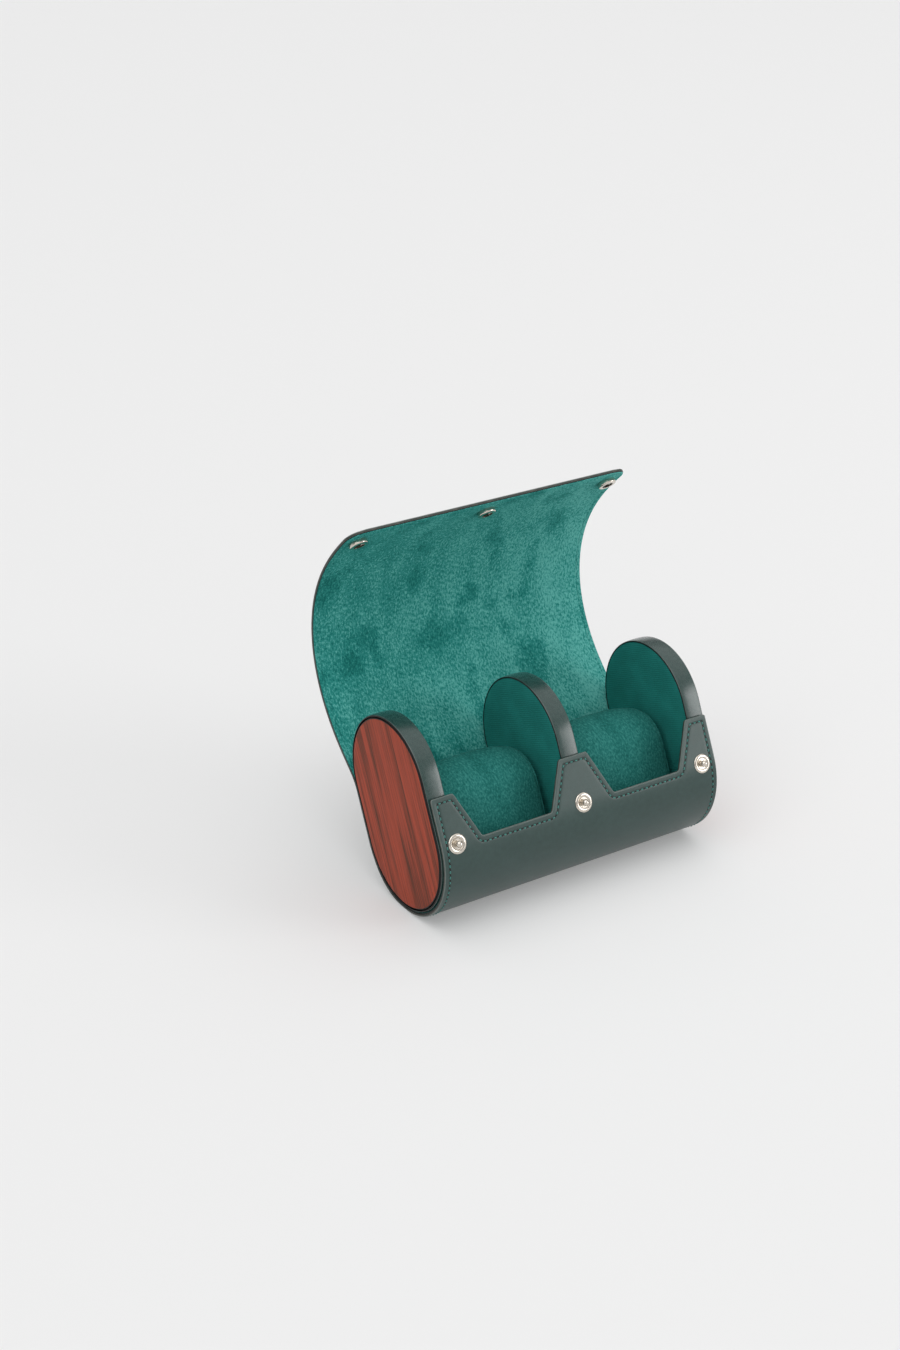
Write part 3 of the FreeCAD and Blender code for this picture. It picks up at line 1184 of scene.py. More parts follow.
    def slab(self, shape: Shape, panel: Panel, back: np.ndarray, face: np.ndarray) -> None:
        """Adds a closed layer of the sheet; finish 0 is on its faces and finish 1 on its real edges.

        Args:
            shape: The piece that it is added to.
            panel: Its flat grid.
            back: Depths of its hidden side.
            face: Depths of the side that shows.
        """
        flat = np.stack([panel.across, panel.along], -1)
        numbers = []
        # Near the edges the leather gets a pale painted highlight with some wear.
        rim = 1.0 - smooth_step(panel.edge, 0.0, self.rim_width)
        for depth in (face, back):
            points = self.path.place(panel.across, panel.along, depth)
            numbers.append(shape.add_points(points, rim))
            shape.add_grid(numbers[-1], flat, 0)
        sides = [
            (np.s_[:, 0], 1),
            (np.s_[:, -1], 1),
            (np.s_[0, :], int(panel.first_is_edge)),
            (np.s_[-1, :], int(panel.last_is_edge)),
        ]
        for side, slot in sides:
            wall = np.stack([numbers[0][side], numbers[1][side]])
            shape.add_grid(wall, np.stack([flat[side], flat[side]]), slot)

    def seam_line(self) -> np.ndarray:
        """Closed line of the stitches, all round the flat pattern."""
        roll = self.roll
        inset = self.seam_inset
        half = roll.half_sheet - inset
        front = np.linspace(-half, half, self.seam_points)
        first = np.stack([front, self.offset(self.front_edge(), front, inset, 1)], 1)
        radius = roll.flap_corner - inset
        middle = roll.half_sheet - roll.flap_corner
        turn = np.linspace(0, math.pi / 2, self.turn_points)
        height = roll.flap_length - roll.flap_corner
        right = np.stack([middle + radius * np.cos(turn), height + radius * np.sin(turn)], 1)
        left = right[::-1] * (-1, 1)
        return np.concatenate([first, right, left, first[:1]])


@dataclass
class Stitching:
    """Saddle stitches on the leather, along the sheet's edges."""

    sheet: Sheet
    pitch: float = 0.00275
    length: float = 0.0018
    radius: float = 0.00032
    slant: float = math.radians(7.0)
    sides: int = 7
    rise: tuple[float, ...] = (-0.00022, 0.00004, 0.00014, 0.00017, 0.00014, 0.00004, -0.00022)
    swell: tuple[float, ...] = (0.45, 0.85, 1.0, 1.04, 1.0, 0.85, 0.45)
    # Size and lift of the dark discs that paint the shade of the awl holes.
    hole: tuple[float, float] = (0.00062, 0.00042)
    hole_lift: float = 0.00003

    def places(self) -> TwoArrays:
        """Middles and directions of all stitches, evenly spaced.

        Returns:
            Places on the flat pattern, and unit directions.
        """
        line = self.sheet.seam_line()
        run = np.concatenate([[0.0], np.cumsum(np.linalg.norm(np.diff(line, axis=0), axis=1))])
        count = round(run[-1] / self.pitch)
        marks = (np.arange(count) + 0.5) * run[-1] / count

        def at(mark: np.ndarray) -> np.ndarray:
            """Points of the line at distances along it."""
            mark = mark % run[-1]
            return np.stack([np.interp(mark, run, line[:, 0]), np.interp(mark, run, line[:, 1])], 1)

        ends = at(marks + self.length / 2) - at(marks - self.length / 2)
        return at(marks), ends / np.linalg.norm(ends, axis=1, keepdims=True)

    def sew(self, shape: Shape, start: float, end: float) -> int:
        """Adds the stitches of a stretch of the sheet.

        Args:
            shape: The piece that they are added to.
            start: Least distance along the sheet.
            end: Largest distance along the sheet.

        Returns:
            The number of stitches.
        """
        middles, headings = self.places()
        path = self.sheet.path
        turn = np.linspace(0, 2 * math.pi, self.sides, endpoint=False)
        spans = np.linspace(-0.5, 0.5, len(self.rise)) * self.length
        cosine, sine = math.cos(self.slant), math.sin(self.slant)
        slant = np.array([[cosine, -sine], [sine, cosine]])
        sewn = 0
        for middle, heading in zip(middles, headings):
            if not start <= middle[1] < end:
                continue
            heading = slant @ heading
            side = np.array([-heading[1], heading[0]])
            radius = self.radius * np.array(self.swell)[:, None]
            flat = middle + spans[:, None, None] * heading + (radius * np.cos(turn))[..., None] * side
            face = path.thickness(flat[..., 1]) - self.sheet.seam_dip
            depth = face + np.array(self.rise)[:, None] + radius * np.sin(turn)
            numbers = shape.add_points(path.place(flat[..., 0], flat[..., 1], depth))
            loop = np.concatenate([numbers.T, numbers.T[:1]])
            wrapped = np.concatenate([flat.transpose(1, 0, 2), flat.transpose(1, 0, 2)[:1]])
            shape.add_grid(loop, wrapped, 0)
            shape.add_face(numbers[0][::-1], flat[0][::-1], 0)
            shape.add_face(numbers[-1], flat[-1], 0)
            for share in (-0.5, 0.5):
                self.pierce(shape, middle + heading * (share * self.length), heading)
            sewn += 1
        return sewn

    def pierce(self, shape: Shape, place: np.ndarray, heading: np.ndarray) -> None:
        """Adds a flat dark disc at one end of a stitch, just above the leather: painted shade where the awl
        hole is.

        Args:
            shape: The piece that it is added to.
            place: Its place on the flat pattern.
            heading: Direction of the stitch.
        """
        turn = np.linspace(0, 2 * math.pi, self.sides, endpoint=False)[:, None]
        side = np.array([-heading[1], heading[0]])
        aside = self.hole[1] * np.sin(turn)
        flat = place + self.hole[0] * np.cos(turn) * heading + aside * side
        path = self.sheet.path
        groove = self.sheet.seam_groove(self.sheet.seam_inset + aside[:, 0], self.sheet.seam_dip)
        depth = path.thickness(flat[:, 1]) - groove + self.hole_lift
        ring = shape.add_points(path.place(flat[:, 0], flat[:, 1], depth))
        # The disc is painted shade: no hole is cut.
        shape.add_face(ring, flat, 1)


# Sub-assemblies


@dataclass
class Workshop:
    """What every sub-assembly is made with."""

    roll: Roll
    shelf: FinishShelf

    def shape(self, name: str, *finishes: Finish) -> Shape:
        """Starts a piece with its finishes."""
        return Shape(name, [self.shelf.get(finish) for finish in finishes])

    @staticmethod
    def applied(made: bpy.types.Object) -> None:
        """Turns an object's modifiers into its mesh."""
        depsgraph = bpy.context.evaluated_depsgraph_get()
        mesh = bpy.data.meshes.new_from_object(made.evaluated_get(depsgraph))
        made.modifiers.clear()
        made.data = mesh

    @staticmethod
    def spots(made: bpy.types.Object) -> np.ndarray:
        """Places of an object's points."""
        return np.array([vertex.co for vertex in made.data.vertices])

    @staticmethod
    def move(made: bpy.types.Object, points: np.ndarray) -> None:
        """Moves an object's points to new places."""
        made.data.vertices.foreach_set("co", points.astype(np.float32).ravel())

    def dress(self, node: str, finish: Finish) -> None:
        """Gives a construction node its finish."""
        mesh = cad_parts[node].data
        mesh.materials.clear()
        mesh.materials.append(self.shelf.get(finish))


@dataclass
class Wrap:
    """The leather sheet with its lining and stitches: the trough and the flap, built in strips."""

    shop: Workshop
    sheet: Sheet
    punch_margin: float = 0.00005
    punch_sides: int = 24

    def joints(self) -> list[tuple[str, str, float]]:
        """Bodies on both sides of each bend, and its distance from the hinge."""
        roll = self.shop.roll
        bodies = ["case"] + [f"flap_{i + 1}" for i in range(roll.strips)] + ["flap_front"]
        return [(bodies[i], bodies[i + 1], i * roll.strip_length) for i in range(roll.strips + 1)]

    def build(self) -> list[bpy.types.Object]:
        """Builds all pieces of the sheet.

        Returns:
            The pieces.
        """
        roll = self.shop.roll
        half = roll.strip_length / 2
        made = self.build_trough(-half)
        for i, (first, second, place) in enumerate(self.joints()):
            made += self.build_bend(i, place - half, place + half)
        return made + self.build_end(roll.strips * roll.strip_length + half)

    def stretch(
        self,
        name: str,
        span: tuple[float, float],
        panel: Callable[[float], Panel],
        node: str,
        suede: Finish = Finish.FLAP_SUEDE,
    ) -> list[bpy.types.Object]:
        """Makes the two layers and the stitches of a stretch of the sheet.

        Args:
            name: Its name, which starts the pieces' names.
            span: Distances along the sheet where it starts and ends.
            panel: Gives its flat grid, for a layer's inset.
            node: Name of the nodes that it stands for, with a place for the layer's; empty for none.
            suede: Finish of its lining.

        Returns:
            Its leather, lining and stitches.
        """
        made = []
        lining_inset = self.sheet.lining_inset
        layers = ((Layer.LEATHER, Finish.LEATHER, 0.0), (Layer.LINING, suede, lining_inset))
        for layer, finish, inset in layers:
            piece = self.fill(f"{name}_{layer.value}", layer, finish, panel(inset))
            if node:
                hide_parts(node.format(layer.value))
            made.append(piece)
        return made + [self.stitches(f"{name}_stitches", *span)]

    def fill(self, name: str, layer: Layer, finish: Finish, panel: Panel) -> bpy.types.Object:
        """Makes one layer of a panel.

        Args:
            name: The piece's name.
            layer: The layer.
            finish: Finish of its face.
            panel: Its flat grid.

        Returns:
            The piece.
        """
        leather = layer is Layer.LEATHER
        # The lining's edges get the dark edge paint, which at the trough also paints the shade of the gap
        # between the lining and the boards.
        shape = self.shop.shape(name, finish, Finish.CUT if leather else Finish.EDGE)
        if leather:
            self.sheet.leather_slab(shape, panel)
        else:
            self.sheet.lining_slab(shape, panel)
        made = shape.make()
        return made

    @staticmethod
    def area(panel: Panel) -> float:
        """Flat area of a panel."""
        columns = np.diff(panel.across, axis=1)
        rows = np.diff(panel.along, axis=0)
        cells = (columns[1:] + columns[:-1]) / 2 * (rows[:, 1:] + rows[:, :-1]) / 2
        return float(cells.sum())

    def stitches(self, name: str, start: float, end: float) -> bpy.types.Object:
        """Makes the stitches of a stretch of the sheet.

        Args:
            name: The piece's name.
            start: Least distance along the sheet.
            end: Largest distance along the sheet.

        Returns:
            The piece.
        """
        # Finish 1 paints the shade of the awl holes.
        shape = self.shop.shape(name, Finish.THREAD, Finish.EDGE)
        sewn = Stitching(self.sheet).sew(shape, start, end)
        log.info("%s: %d stitches", name, sewn)
        made = shape.make()
        return made

    def build_trough(self, end: float) -> list[bpy.types.Object]:
        """Builds the trough, which stands still.

        Args:
            end: Distance along the sheet where it ends.

        Returns:
            Its leather, lining and stitches.
        """
        span = (self.sheet.path.start, end)
        panel = partial(self.sheet.trough_panel, end)
        made = self.stretch("trough", span, panel, "wrap_{}", Finish.TROUGH_SUEDE)
        for piece in made:
            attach(piece, "case")
        return made

    def build_bend(
        self,
        number: int,
        start: float,
        end: float,
    ) -> list[bpy.types.Object]:
        """Builds the stretch of the sheet around one bend of the flap.

        Args:
            number: Number of the bend, from 0 at the hinge.
            start: Distance along the sheet where the stretch starts.
            end: Distance along the sheet where it ends.

        Returns:
            Its leather, lining and stitches.
        """
        span = (start, end)
        node = f"flap_{{}}_{number}" if number else ""
        made = self.stretch(f"bend_{number}", span, partial(self.sheet.strip_panel, *span), node)
        low, high = (tuple(self.sheet.path.place(0.0, place, 0.0)) for place in span)
        for piece in made:
            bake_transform(piece)
        return made

    def build_end(self, start: float) -> list[bpy.types.Object]:
        """Builds the flap's last stretch, with its free end.

        Args:
            start: Distance along the sheet where it starts.

        Returns:
            Its leather, lining and stitches.
        """
        span = (start, self.shop.roll.flap_length)
        panel = partial(self.sheet.end_panel, start)
        made = self.stretch("flap_end", span, panel, "flap_{}_front")
        self.punch(made[1])
        for piece in made:
            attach(piece, "flap_front")
        return made

    def punch(self, lining: bpy.types.Object) -> None:
        """Cuts the holes that the snap sockets sit in.

        Args:
            lining: The suede of the flap's last stretch.
        """
        roll = self.shop.roll
        shape = self.shop.shape("socket_punch", Finish.EDGE)
        turn = np.linspace(0, 2 * math.pi, self.punch_sides, endpoint=False)
        for middle in (-roll.snap_spread, 0.0, roll.snap_spread):
            across = middle + roll.socket_hole * np.cos(turn)
            along = roll.snap_place + roll.socket_hole * np.sin(turn)
            depth = np.array([[-roll.flap_lining], [roll.flap_lining + self.punch_margin]])
            rings = shape.add_points(self.sheet.path.place(across, along, depth))
            flat = np.stack([across, along], -1)
            wall = np.concatenate([rings, rings[:, :1]], axis=1)
            shape.add_grid(wall, np.stack([np.concatenate([flat, flat[:1]])] * 2), 0)
            shape.add_face(rings[0], flat, 0)
            shape.add_face(rings[1][::-1], flat[::-1], 0)
        cutter = shape.make()
        cut = lining.modifiers.new("holes", "BOOLEAN")
        cut.object = cutter
        self.shop.applied(lining)
        bpy.data.objects.remove(cutter)


@dataclass
class Boards:
    """The three oval boards: leather bands on their edges, suede facings and wood panels."""

    shop: Workshop
    turn_steps: int = 40
    straight_steps: int = 8
    round_points: int = 6
    crown_steps: int = 8
    face_rings: int = 11
    merge: float = 1e-6
    band_round: float = 0.00070
    painted_rows: int = 4
    band_crown: float = 0.00022
    facing_round: float = 0.00045
    facing_crown: float = 0.00015
    wood_round: float = 0.0005
    wood_gap: float = 0.0002

    def oval(self) -> np.ndarray:
        """Outline of the boards, as rows of u on their straight middle and the way out of it."""
        half = self.shop.roll.half_straight
        rows = []
        for sign in (1, -1):
            for angle in np.linspace(-math.pi / 2, math.pi / 2, self.turn_steps + 1):
                rows.append((sign * half, sign * math.cos(angle), sign * math.sin(angle)))
            for share in np.linspace(0, 1, self.straight_steps + 1)[1:-1]:
                rows.append((sign * half * (1 - 2 * share), 0.0, sign * 1.0))
        return np.array(rows)

    def ring(self, shape: Shape, profile: np.ndarray, slots: np.ndarray) -> None:
        """Adds a closed ring round the oval, with a pale painted highlight and some wear at its two edges.

        Args:
            shape: The piece that it is added to.
            profile: Places along the roll and radii of its section, closed.
            slots: Number of the finish of each stretch of the section.
        """
        oval = self.oval()
        x = profile[:, 0]
        radius = profile[:, 1]
        u = oval[:, :1] + oval[:, 1:2] * radius
        v = oval[:, 2:] * radius
        inside = np.minimum(x - x.min(), x.max() - x)
        # At the band's two edges the leather gets a pale painted highlight with some wear.
        rim = np.broadcast_to(1.0 - smooth_step(inside, 0.0, self.band_round), u.shape)
        numbers = shape.add_points(self.shop.roll.leaning(x, u, v)[:, :-1], rim[:, :-1])
        numbers = np.concatenate([numbers, numbers[:, :1]], axis=1)
        outline = np.stack([u[:, 0], v[:, 0]], 1)
        gaps = np.linalg.norm(np.diff(np.concatenate([outline, outline[:1]]), axis=0), axis=1)
        run = np.concatenate([[0.0], np.cumsum(gaps)])
        girth = np.concatenate([[0.0], np.cumsum(np.linalg.norm(np.diff(profile, axis=0), axis=1))])
        flat = np.stack(np.meshgrid(girth, run), -1)
        shape.add_grid(numbers, flat, np.broadcast_to(slots, (len(oval), len(slots))), closed=True)

    def band_profile(self, low: float, high: float) -> TwoArrays:
        """Section of a leather band, crowned and with rounded edges.

        Args:
            low: Its first place along the roll.
            high: Its last place along the roll.

        Returns:
            Places and radii, closed, and the number of the finish of each stretch.
        """
        roll = self.shop.roll
        inner = roll.board_radius - roll.edge_band
        outer = roll.board_radius - self.band_crown
        turn = np.linspace(0, math.pi / 2, self.round_points)
        rise = self.band_round * np.sin(turn)
        run = self.band_round * (1 - np.cos(turn))
        middle = np.linspace(low + self.band_round, high - self.band_round, self.crown_steps + 1)[1:-1]
        swell = 1 - ((middle - (low + high) / 2) / ((high - low) / 2)) ** 2
        points = [(low, inner)]
        points += list(zip(low + run, outer - self.band_round + rise))
        points += list(zip(middle, outer + self.band_crown * swell))
        points += list(zip(high - run[::-1], outer - self.band_round + rise[::-1]))
        points += [(high, inner), (low, inner)]
        slots = np.zeros(len(points) - 1, int)
        slots[: self.painted_rows] = slots[-self.painted_rows - 1 :] = 1
        return np.array(points), slots

    def disc(
        self,
        shape: Shape,
        face: float,
        back: float,
        radius: float,
        rounding: float,
        crown: float,
        rim_slot: int = 0,
    ) -> None:
        """Adds an oval disc with a rounded rim.

        Args:
            shape: The piece that it is added to.
            face: Place of the side that shows.
            back: Place of the hidden side.
            radius: Radius of its ends.
            rounding: Radius of its rim.
            crown: Rise of its face in the middle.
            rim_slot: Number of its rim's finish.
        """
        side = math.copysign(1.0, face - back)
        turn = np.linspace(0, math.pi / 2, self.round_points)
        rim = radius - rounding * (1 - np.sin(turn))
        inner = np.linspace(0, rim[0], self.face_rings + 1)[:-1]
        heights = np.concatenate([crown * (1 - (inner / rim[0]) ** 2), -rounding * (1 - np.cos(turn))])
        radii = np.concatenate([inner, rim, rim[-1:], [0.0]])
        places = np.concatenate([face + side * heights, [back], [back]])
        slots = np.zeros(len(radii) - 1, int)
        slots[len(inner) :] = rim_slot
        oval = self.oval()
        u = oval[:, :1] + oval[:, 1:2] * radii
        v = oval[:, 2:] * radii
        numbers = shape.add_points(self.shop.roll.leaning(places, u, v))
        flat = np.stack([v, u], -1)
        flat = np.concatenate([flat, flat[:1]])
        shape.add_grid(numbers, flat, np.broadcast_to(slots, (len(oval), len(slots))), closed=True)

    def build_band(self, name: str, low: float, high: float) -> bpy.types.Object:
        """Builds a leather band.

        Args:
            name: Name of its board.
            low: Its first place along the roll.
            high: Its last place along the roll.

        Returns:
            The piece.
        """
        shape = self.shop.shape(f"{name}_band", Finish.BAND, Finish.EDGE)
        self.ring(shape, *self.band_profile(low, high))
        made = shape.make()
        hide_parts(f"{name}_edge_band")
        return made

    def build_facing(self, name: str, node: str, face: float, inward: float) -> bpy.types.Object:
        """Builds a suede facing.

        Args:
            name: The piece's name.
            node: The construction node that it stands for.
            face: Place of its face along the roll.
            inward: Direction from its face into the board.

        Returns:
            The piece.
        """
        roll = self.shop.roll
        shape = self.shop.shape(name, Finish.BOARD_SUEDE)
        radius = roll.board_radius - roll.edge_band
        start = face + inward * self.facing_crown
        self.disc(shape, start, face + inward * roll.facing, radius, self.facing_round, self.facing_crown)
        made = shape.make(merge=self.merge)
        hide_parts(node)
        return made

    def build_wood(self, name: str, side: int) -> bpy.types.Object:
        """Builds the wood panel of an end board.

        Args:
            name: Name of its board.
            side: Side of the roll, -1 or 1.

        Returns:
            The piece.
        """
        roll = self.shop.roll
        shape = self.shop.shape(f"{name}_panel", Finish.ROSEWOOD, Finish.EDGE)
        radius = roll.board_radius - roll.edge_band - roll.wood_groove - self.wood_gap
        face = side * roll.half_length
        self.disc(shape, face, face - side * roll.wood, radius, self.wood_round, 0.0, 1)
        made = shape.make(merge=self.merge)
        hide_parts(f"{name}_wood")
        return made

    def build(self) -> list[bpy.types.Object]:
        """Builds the pieces of all boards.

        Returns:
            The pieces.
        """
        roll = self.shop.roll
        half = roll.board_thickness / 2
        made = [
            self.build_band("divider", -half, half),
            self.build_facing("divider_facing_left", "divider_suede_left", -half, 1.0),
            self.build_facing("divider_facing_right", "divider_suede_right", half, -1.0),
        ]
        for name, side in (("left_end", -1), ("right_end", 1)):
            ends = sorted((side * roll.board_inner, side * (roll.half_length - roll.wood_proud)))
            made.append(self.build_band(name, *ends))
            made.append(self.build_facing(f"{name}_facing", f"{name}_suede", side * roll.board_inner, side))
            made.append(self.build_wood(name, side))
        for piece in made:
            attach(piece, "case")
        for node in ("left_end_core", "right_end_core", "divider_core"):
            self.shop.dress(node, Finish.BOARD)
        return made


@dataclass
class Cushion:
    """A cushion: a stuffed suede sleeve with two sewn end panels."""

    shop: Workshop
    name: str
    middle: float
    height: float = 0.066
    depth: float = 0.046
    side_gap: float = 0.0025
    set_back: float = 0.003
    clearance: float = 0.0003
    end_draw: float = 0.0040
    crown_power: float = 3.2
    slack: float = 0.0009
    rim_round: float = 0.0016
    seam_place: float = 0.0022
    around: int = 72
    voxel: float = 0.0021
    sim_scale: float = 8.0
    sim_frames: int = 20
    pressure: float = 4.0
    most_swell: float = 0.0014
    stretch_stiffness: float = 40.0
    bending_stiffness: float = 2.0
    hold_reach: float = 0.75
    turn_blend: float = 0.16
    round_points: int = 5
    end_rings: tuple[float, float, int] = (0.15, 0.9, 5)
    body_steps: int = 8
    seam_dip: float = 0.0008
    seam_width: float = 0.0009
    seam_fade: float = 6.0
    end_slope: float = 0.75
    girth_share: float = 0.6
    welt_radius: float = 0.00055
    welt_sides: int = 8
    welt_step: tuple[float, float] = (0.0005, 0.0026)
    welt_start: float = 0.002

    @property
    def half(self) -> float:
        """Half the cushion's length."""
        return self.shop.roll.bay_length / 2 - self.side_gap

    def axis(self) -> tuple[float, float]:
        """Lower and upper ends of the section's straight middle, in u."""
        roll = self.shop.roll
        reach = roll.board_radius - self.depth / 2 - self.clearance
        low = -roll.half_straight - math.sqrt(reach**2 - self.set_back**2)
        return low, low + self.height - self.depth

    def ring(self, x: float, radius: float) -> np.ndarray:
        """Points of one section.

        Args:
            x: Place along the roll, from the cushion's middle.
            radius: Radius of its round ends.

        Returns:
            The points.
        """
        low, high = self.axis()
        angle = np.linspace(-math.pi / 2, 1.5 * math.pi, self.around, endpoint=False)
        straight = np.where(np.cos(angle) >= 0, high, low)
        near = np.abs(np.cos(angle)) < self.turn_blend
        blend = 0.5 + np.cos(angle) / (2 * self.turn_blend)
        straight = np.where(near, low + (high - low) * blend, straight)
        u = straight + radius * np.cos(angle)
        v = -self.set_back + radius * np.sin(angle)
        return self.shop.roll.leaning(self.middle + x, u, v)

    def loft(self) -> bpy.types.Object:
        """Makes the unstuffed form: a crowned sleeve with flat ends.

        Returns:
            The form, in the scene.
        """
        full = self.depth / 2 - self.slack
        half = self.half - self.slack
        turn = np.linspace(0, math.pi / 2, self.round_points)
        shares = np.linspace(*self.end_rings)
        places = np.concatenate(
            [
                np.full(len(shares), half),
                half - self.rim_round * (1 - np.cos(turn)),
                np.linspace(half - self.rim_round, 0, self.body_steps + 1)[1:],
            ]
        )
        body = full - self.end_draw * (places / half) ** self.crown_power
        edge, sleeve = np.split(body[len(shares) :], [len(turn)])
        rim = edge - self.rim_round * (1 - np.sin(turn))
        radii = np.concatenate([shares * rim[0], rim, sleeve])
        places = np.concatenate([-places, places[:-1][::-1]])
        radii = np.concatenate([radii, radii[:-1][::-1]])
        shape = self.shop.shape(self.name, Finish.CUSHION_SUEDE)
        rings = np.stack([self.ring(x, radius) for x, radius in zip(places, radii)], 1)
        numbers = shape.add_points(rings)
        flat = np.zeros((rings.shape[0] + 1, rings.shape[1], 2))
        shape.add_grid(numbers, flat, 0, closed=True)
        for column in (numbers[:, 0], numbers[::-1, -1]):
            shape.add_face(column, np.zeros((len(column), 2)), 0)
        return shape.make()

    def stuff(self, made: bpy.types.Object) -> None:
        """Remeshes the form evenly and blows it up as cloth that is held at its two seams.

        Args:
            made: The form.
        """
        centre = Vector(np.mean(self.shop.spots(made), axis=0))
        grow = Matrix.Scale(self.sim_scale, 4) @ Matrix.Translation(-centre)
        made.data.transform(grow)
        remesh = made.modifiers.new("even", "REMESH")
        remesh.mode = "VOXEL"
        remesh.voxel_size = self.voxel * self.sim_scale
        self.shop.applied(made)
        self.blow_up(made)
        made.data.transform(grow.inverted())

    def blow_up(self, made: bpy.types.Object) -> None:
        """Runs the cloth simulation and keeps its capped result.

        Args:
            made: The evenly meshed form, at the simulation's scale.
        """
        rest = self.shop.spots(made)
        seam = (self.half - self.slack - self.seam_place) * self.sim_scale
        hold = self.voxel * self.sim_scale * self.hold_reach
        held = np.flatnonzero(np.abs(np.abs(rest[:, 0]) - seam) < hold)
        group = made.vertex_groups.new(name="seam")
        group.add([int(i) for i in held], 1.0, "REPLACE")
        cloth = made.modifiers.new("stuffing", "CLOTH")
        cloth.settings.use_pressure = True
        cloth.settings.uniform_pressure_force = self.pressure
        cloth.settings.vertex_group_mass = "seam"
        cloth.settings.tension_stiffness = self.stretch_stiffness
        cloth.settings.compression_stiffness = self.stretch_stiffness
        cloth.settings.bending_stiffness = self.bending_stiffness
        cloth.settings.effector_weights.gravity = 0.0
        cloth.point_cache.frame_end = self.sim_frames
        scene = bpy.context.scene
        for number in range(1, self.sim_frames + 1):
            scene.frame_set(number)
        self.shop.applied(made)
        move = self.shop.spots(made) - rest
        length = np.linalg.norm(move, axis=1, keepdims=True)
        most = self.most_swell * self.sim_scale
        capped = rest + move * np.minimum(1.0, most / np.maximum(length, NEARLY_ZERO))
        self.shop.move(made, capped)
        made.vertex_groups.clear()
        scene.frame_set(1)

    def sew(self, made: bpy.types.Object) -> None:
        """Refines the stuffed form and pulls its two end seams in.

        Args:
            made: The stuffed form.
        """
        refine = made.modifiers.new("refine", "SUBSURF")
        refine.levels = refine.render_levels = 1
        self.shop.applied(made)
        points = self.shop.spots(made)
        low, high = self.axis()
        roll = self.shop.roll
        seam = self.half - self.seam_place
        ends = [roll.leaning(self.middle, u, -self.set_back) for u in (low, high)]
        run = (ends[1] - ends[0])[1:]
        share = np.clip((points[:, 1:] - ends[0][1:]) @ run / (run @ run), 0, 1)
        spoke = points[:, 1:] - (ends[0][1:] + share[:, None] * run)
        reach = np.linalg.norm(spoke, axis=1)
        away = np.abs(np.abs(points[:, 0] - self.middle) - seam)
        rim = np.clip(reach / (self.depth / 2 - self.end_draw), 0, 1) ** self.seam_fade
        dip = self.seam_dip * np.exp(-((away / self.seam_width) ** 2)) * rim
        points[:, 1:] -= spoke / np.maximum(reach, NEARLY_ZERO)[:, None] * dip[:, None]
        self.shop.move(made, points)

    def unroll(self, made: bpy.types.Object) -> None:
        """Gives the form its flat pattern: length and girth on the sleeve, height and depth on the ends.

        Args:
            made: The sewn form.
        """
        mesh = made.data
        roll = self.shop.roll
        low, high = self.axis()
        origin = roll.leaning(self.middle, (low + high) / 2, -self.set_back)
        up = roll.leaning(0.0, 1.0, 0.0) - roll.leaning(0.0, 0.0, 0.0)
        out = roll.leaning(0.0, 0.0, 1.0) - roll.leaning(0.0, 0.0, 0.0)
        layer = mesh.uv_layers.get(FLAT_MAP) or mesh.uv_layers.new(name=FLAT_MAP)
        places = np.empty((len(mesh.loops), 2), np.float32)
        for face in mesh.polygons:
            across = abs(face.normal.x) > self.end_slope
            turn = None
            for corner in face.loop_indices:
                point = np.array(mesh.vertices[mesh.loops[corner].vertex_index].co) - origin
                u, v = point @ up, point @ out
                if across:
                    places[corner] = (v, u)
                    continue
                angle = math.atan2(v, u)
                if turn is not None and abs(angle - turn) > math.pi:
                    angle += math.copysign(2 * math.pi, turn - angle)
                turn = angle
                places[corner] = (point[0], angle * self.depth * self.girth_share)
        layer.uv.foreach_set("vector", places.ravel())

    def welt(self, made: bpy.types.Object) -> Shape:
        """Works out the rolled seams that join the sleeve and the end panels.

        Args:
            made: The sewn form.

        Returns:
            The seams.
        """
        shape = self.shop.shape(f"{self.name}_welts", Finish.CUSHION_SUEDE)
        faces = [tuple(face.vertices) for face in made.data.polygons]
        tree = BVHTree.FromPolygons([vertex.co for vertex in made.data.vertices], faces)
        turn = np.linspace(0, 2 * math.pi, self.welt_sides, endpoint=False)
        rise = self.welt_radius * np.cos(turn)
        aside = self.welt_radius * np.sin(turn)
        for side in (-1, 1):
            x = side * (self.half - self.seam_place)
            inner = self.ring(x, self.welt_start)
            outer = self.ring(x, self.depth)
            points = []
            for start, end in zip(inner, outer):
                way = Vector(end - start).normalized()
                spot = tree.ray_cast(Vector(end), -way)[0]
                points.append([spot + way * up + Vector((out, 0, 0)) for up, out in zip(rise, aside)])
            numbers = shape.add_points(np.array(points))
            numbers = np.concatenate([numbers, numbers[:, :1]], axis=1)
            girth = np.arange(len(turn) + 1) * self.welt_step[0]
            run = np.arange(len(points) + 1) * self.welt_step[1]
            flat = np.stack(np.meshgrid(girth, run), -1)
            shape.add_grid(numbers, flat, 0, closed=True)
        return shape

    def build(self) -> list[bpy.types.Object]:
        """Builds the cushion and its welts.

        Returns:
            The pieces.
        """
        made = self.loft()
        self.stuff(made)
        self.sew(made)
        self.unroll(made)
        made.data.materials.clear()
        made.data.materials.append(self.shop.shelf.get(Finish.CUSHION_SUEDE))
        made.data.shade_smooth()
        welts = self.welt(made).make()
        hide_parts(f"{self.name}_cover", f"{self.name}_core")
        for piece in (made, welts):
            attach(piece, self.name)
        return [made, welts]


@dataclass
class Snaps:
    """Studs on the front, and sockets with their springs on the flap."""

    shop: Workshop

    def build(self) -> None:
        """Dresses the construction's own snap pieces."""
        for node, finish in (
            ("snap_studs", Finish.NICKEL),
            ("snap_sockets", Finish.NICKEL),
            ("socket_springs", Finish.SPRING),
            ("stud_rivets", Finish.RIVET),
            ("socket_washers", Finish.RIVET),
        ):
            self.shop.dress(node, finish)


# Studio


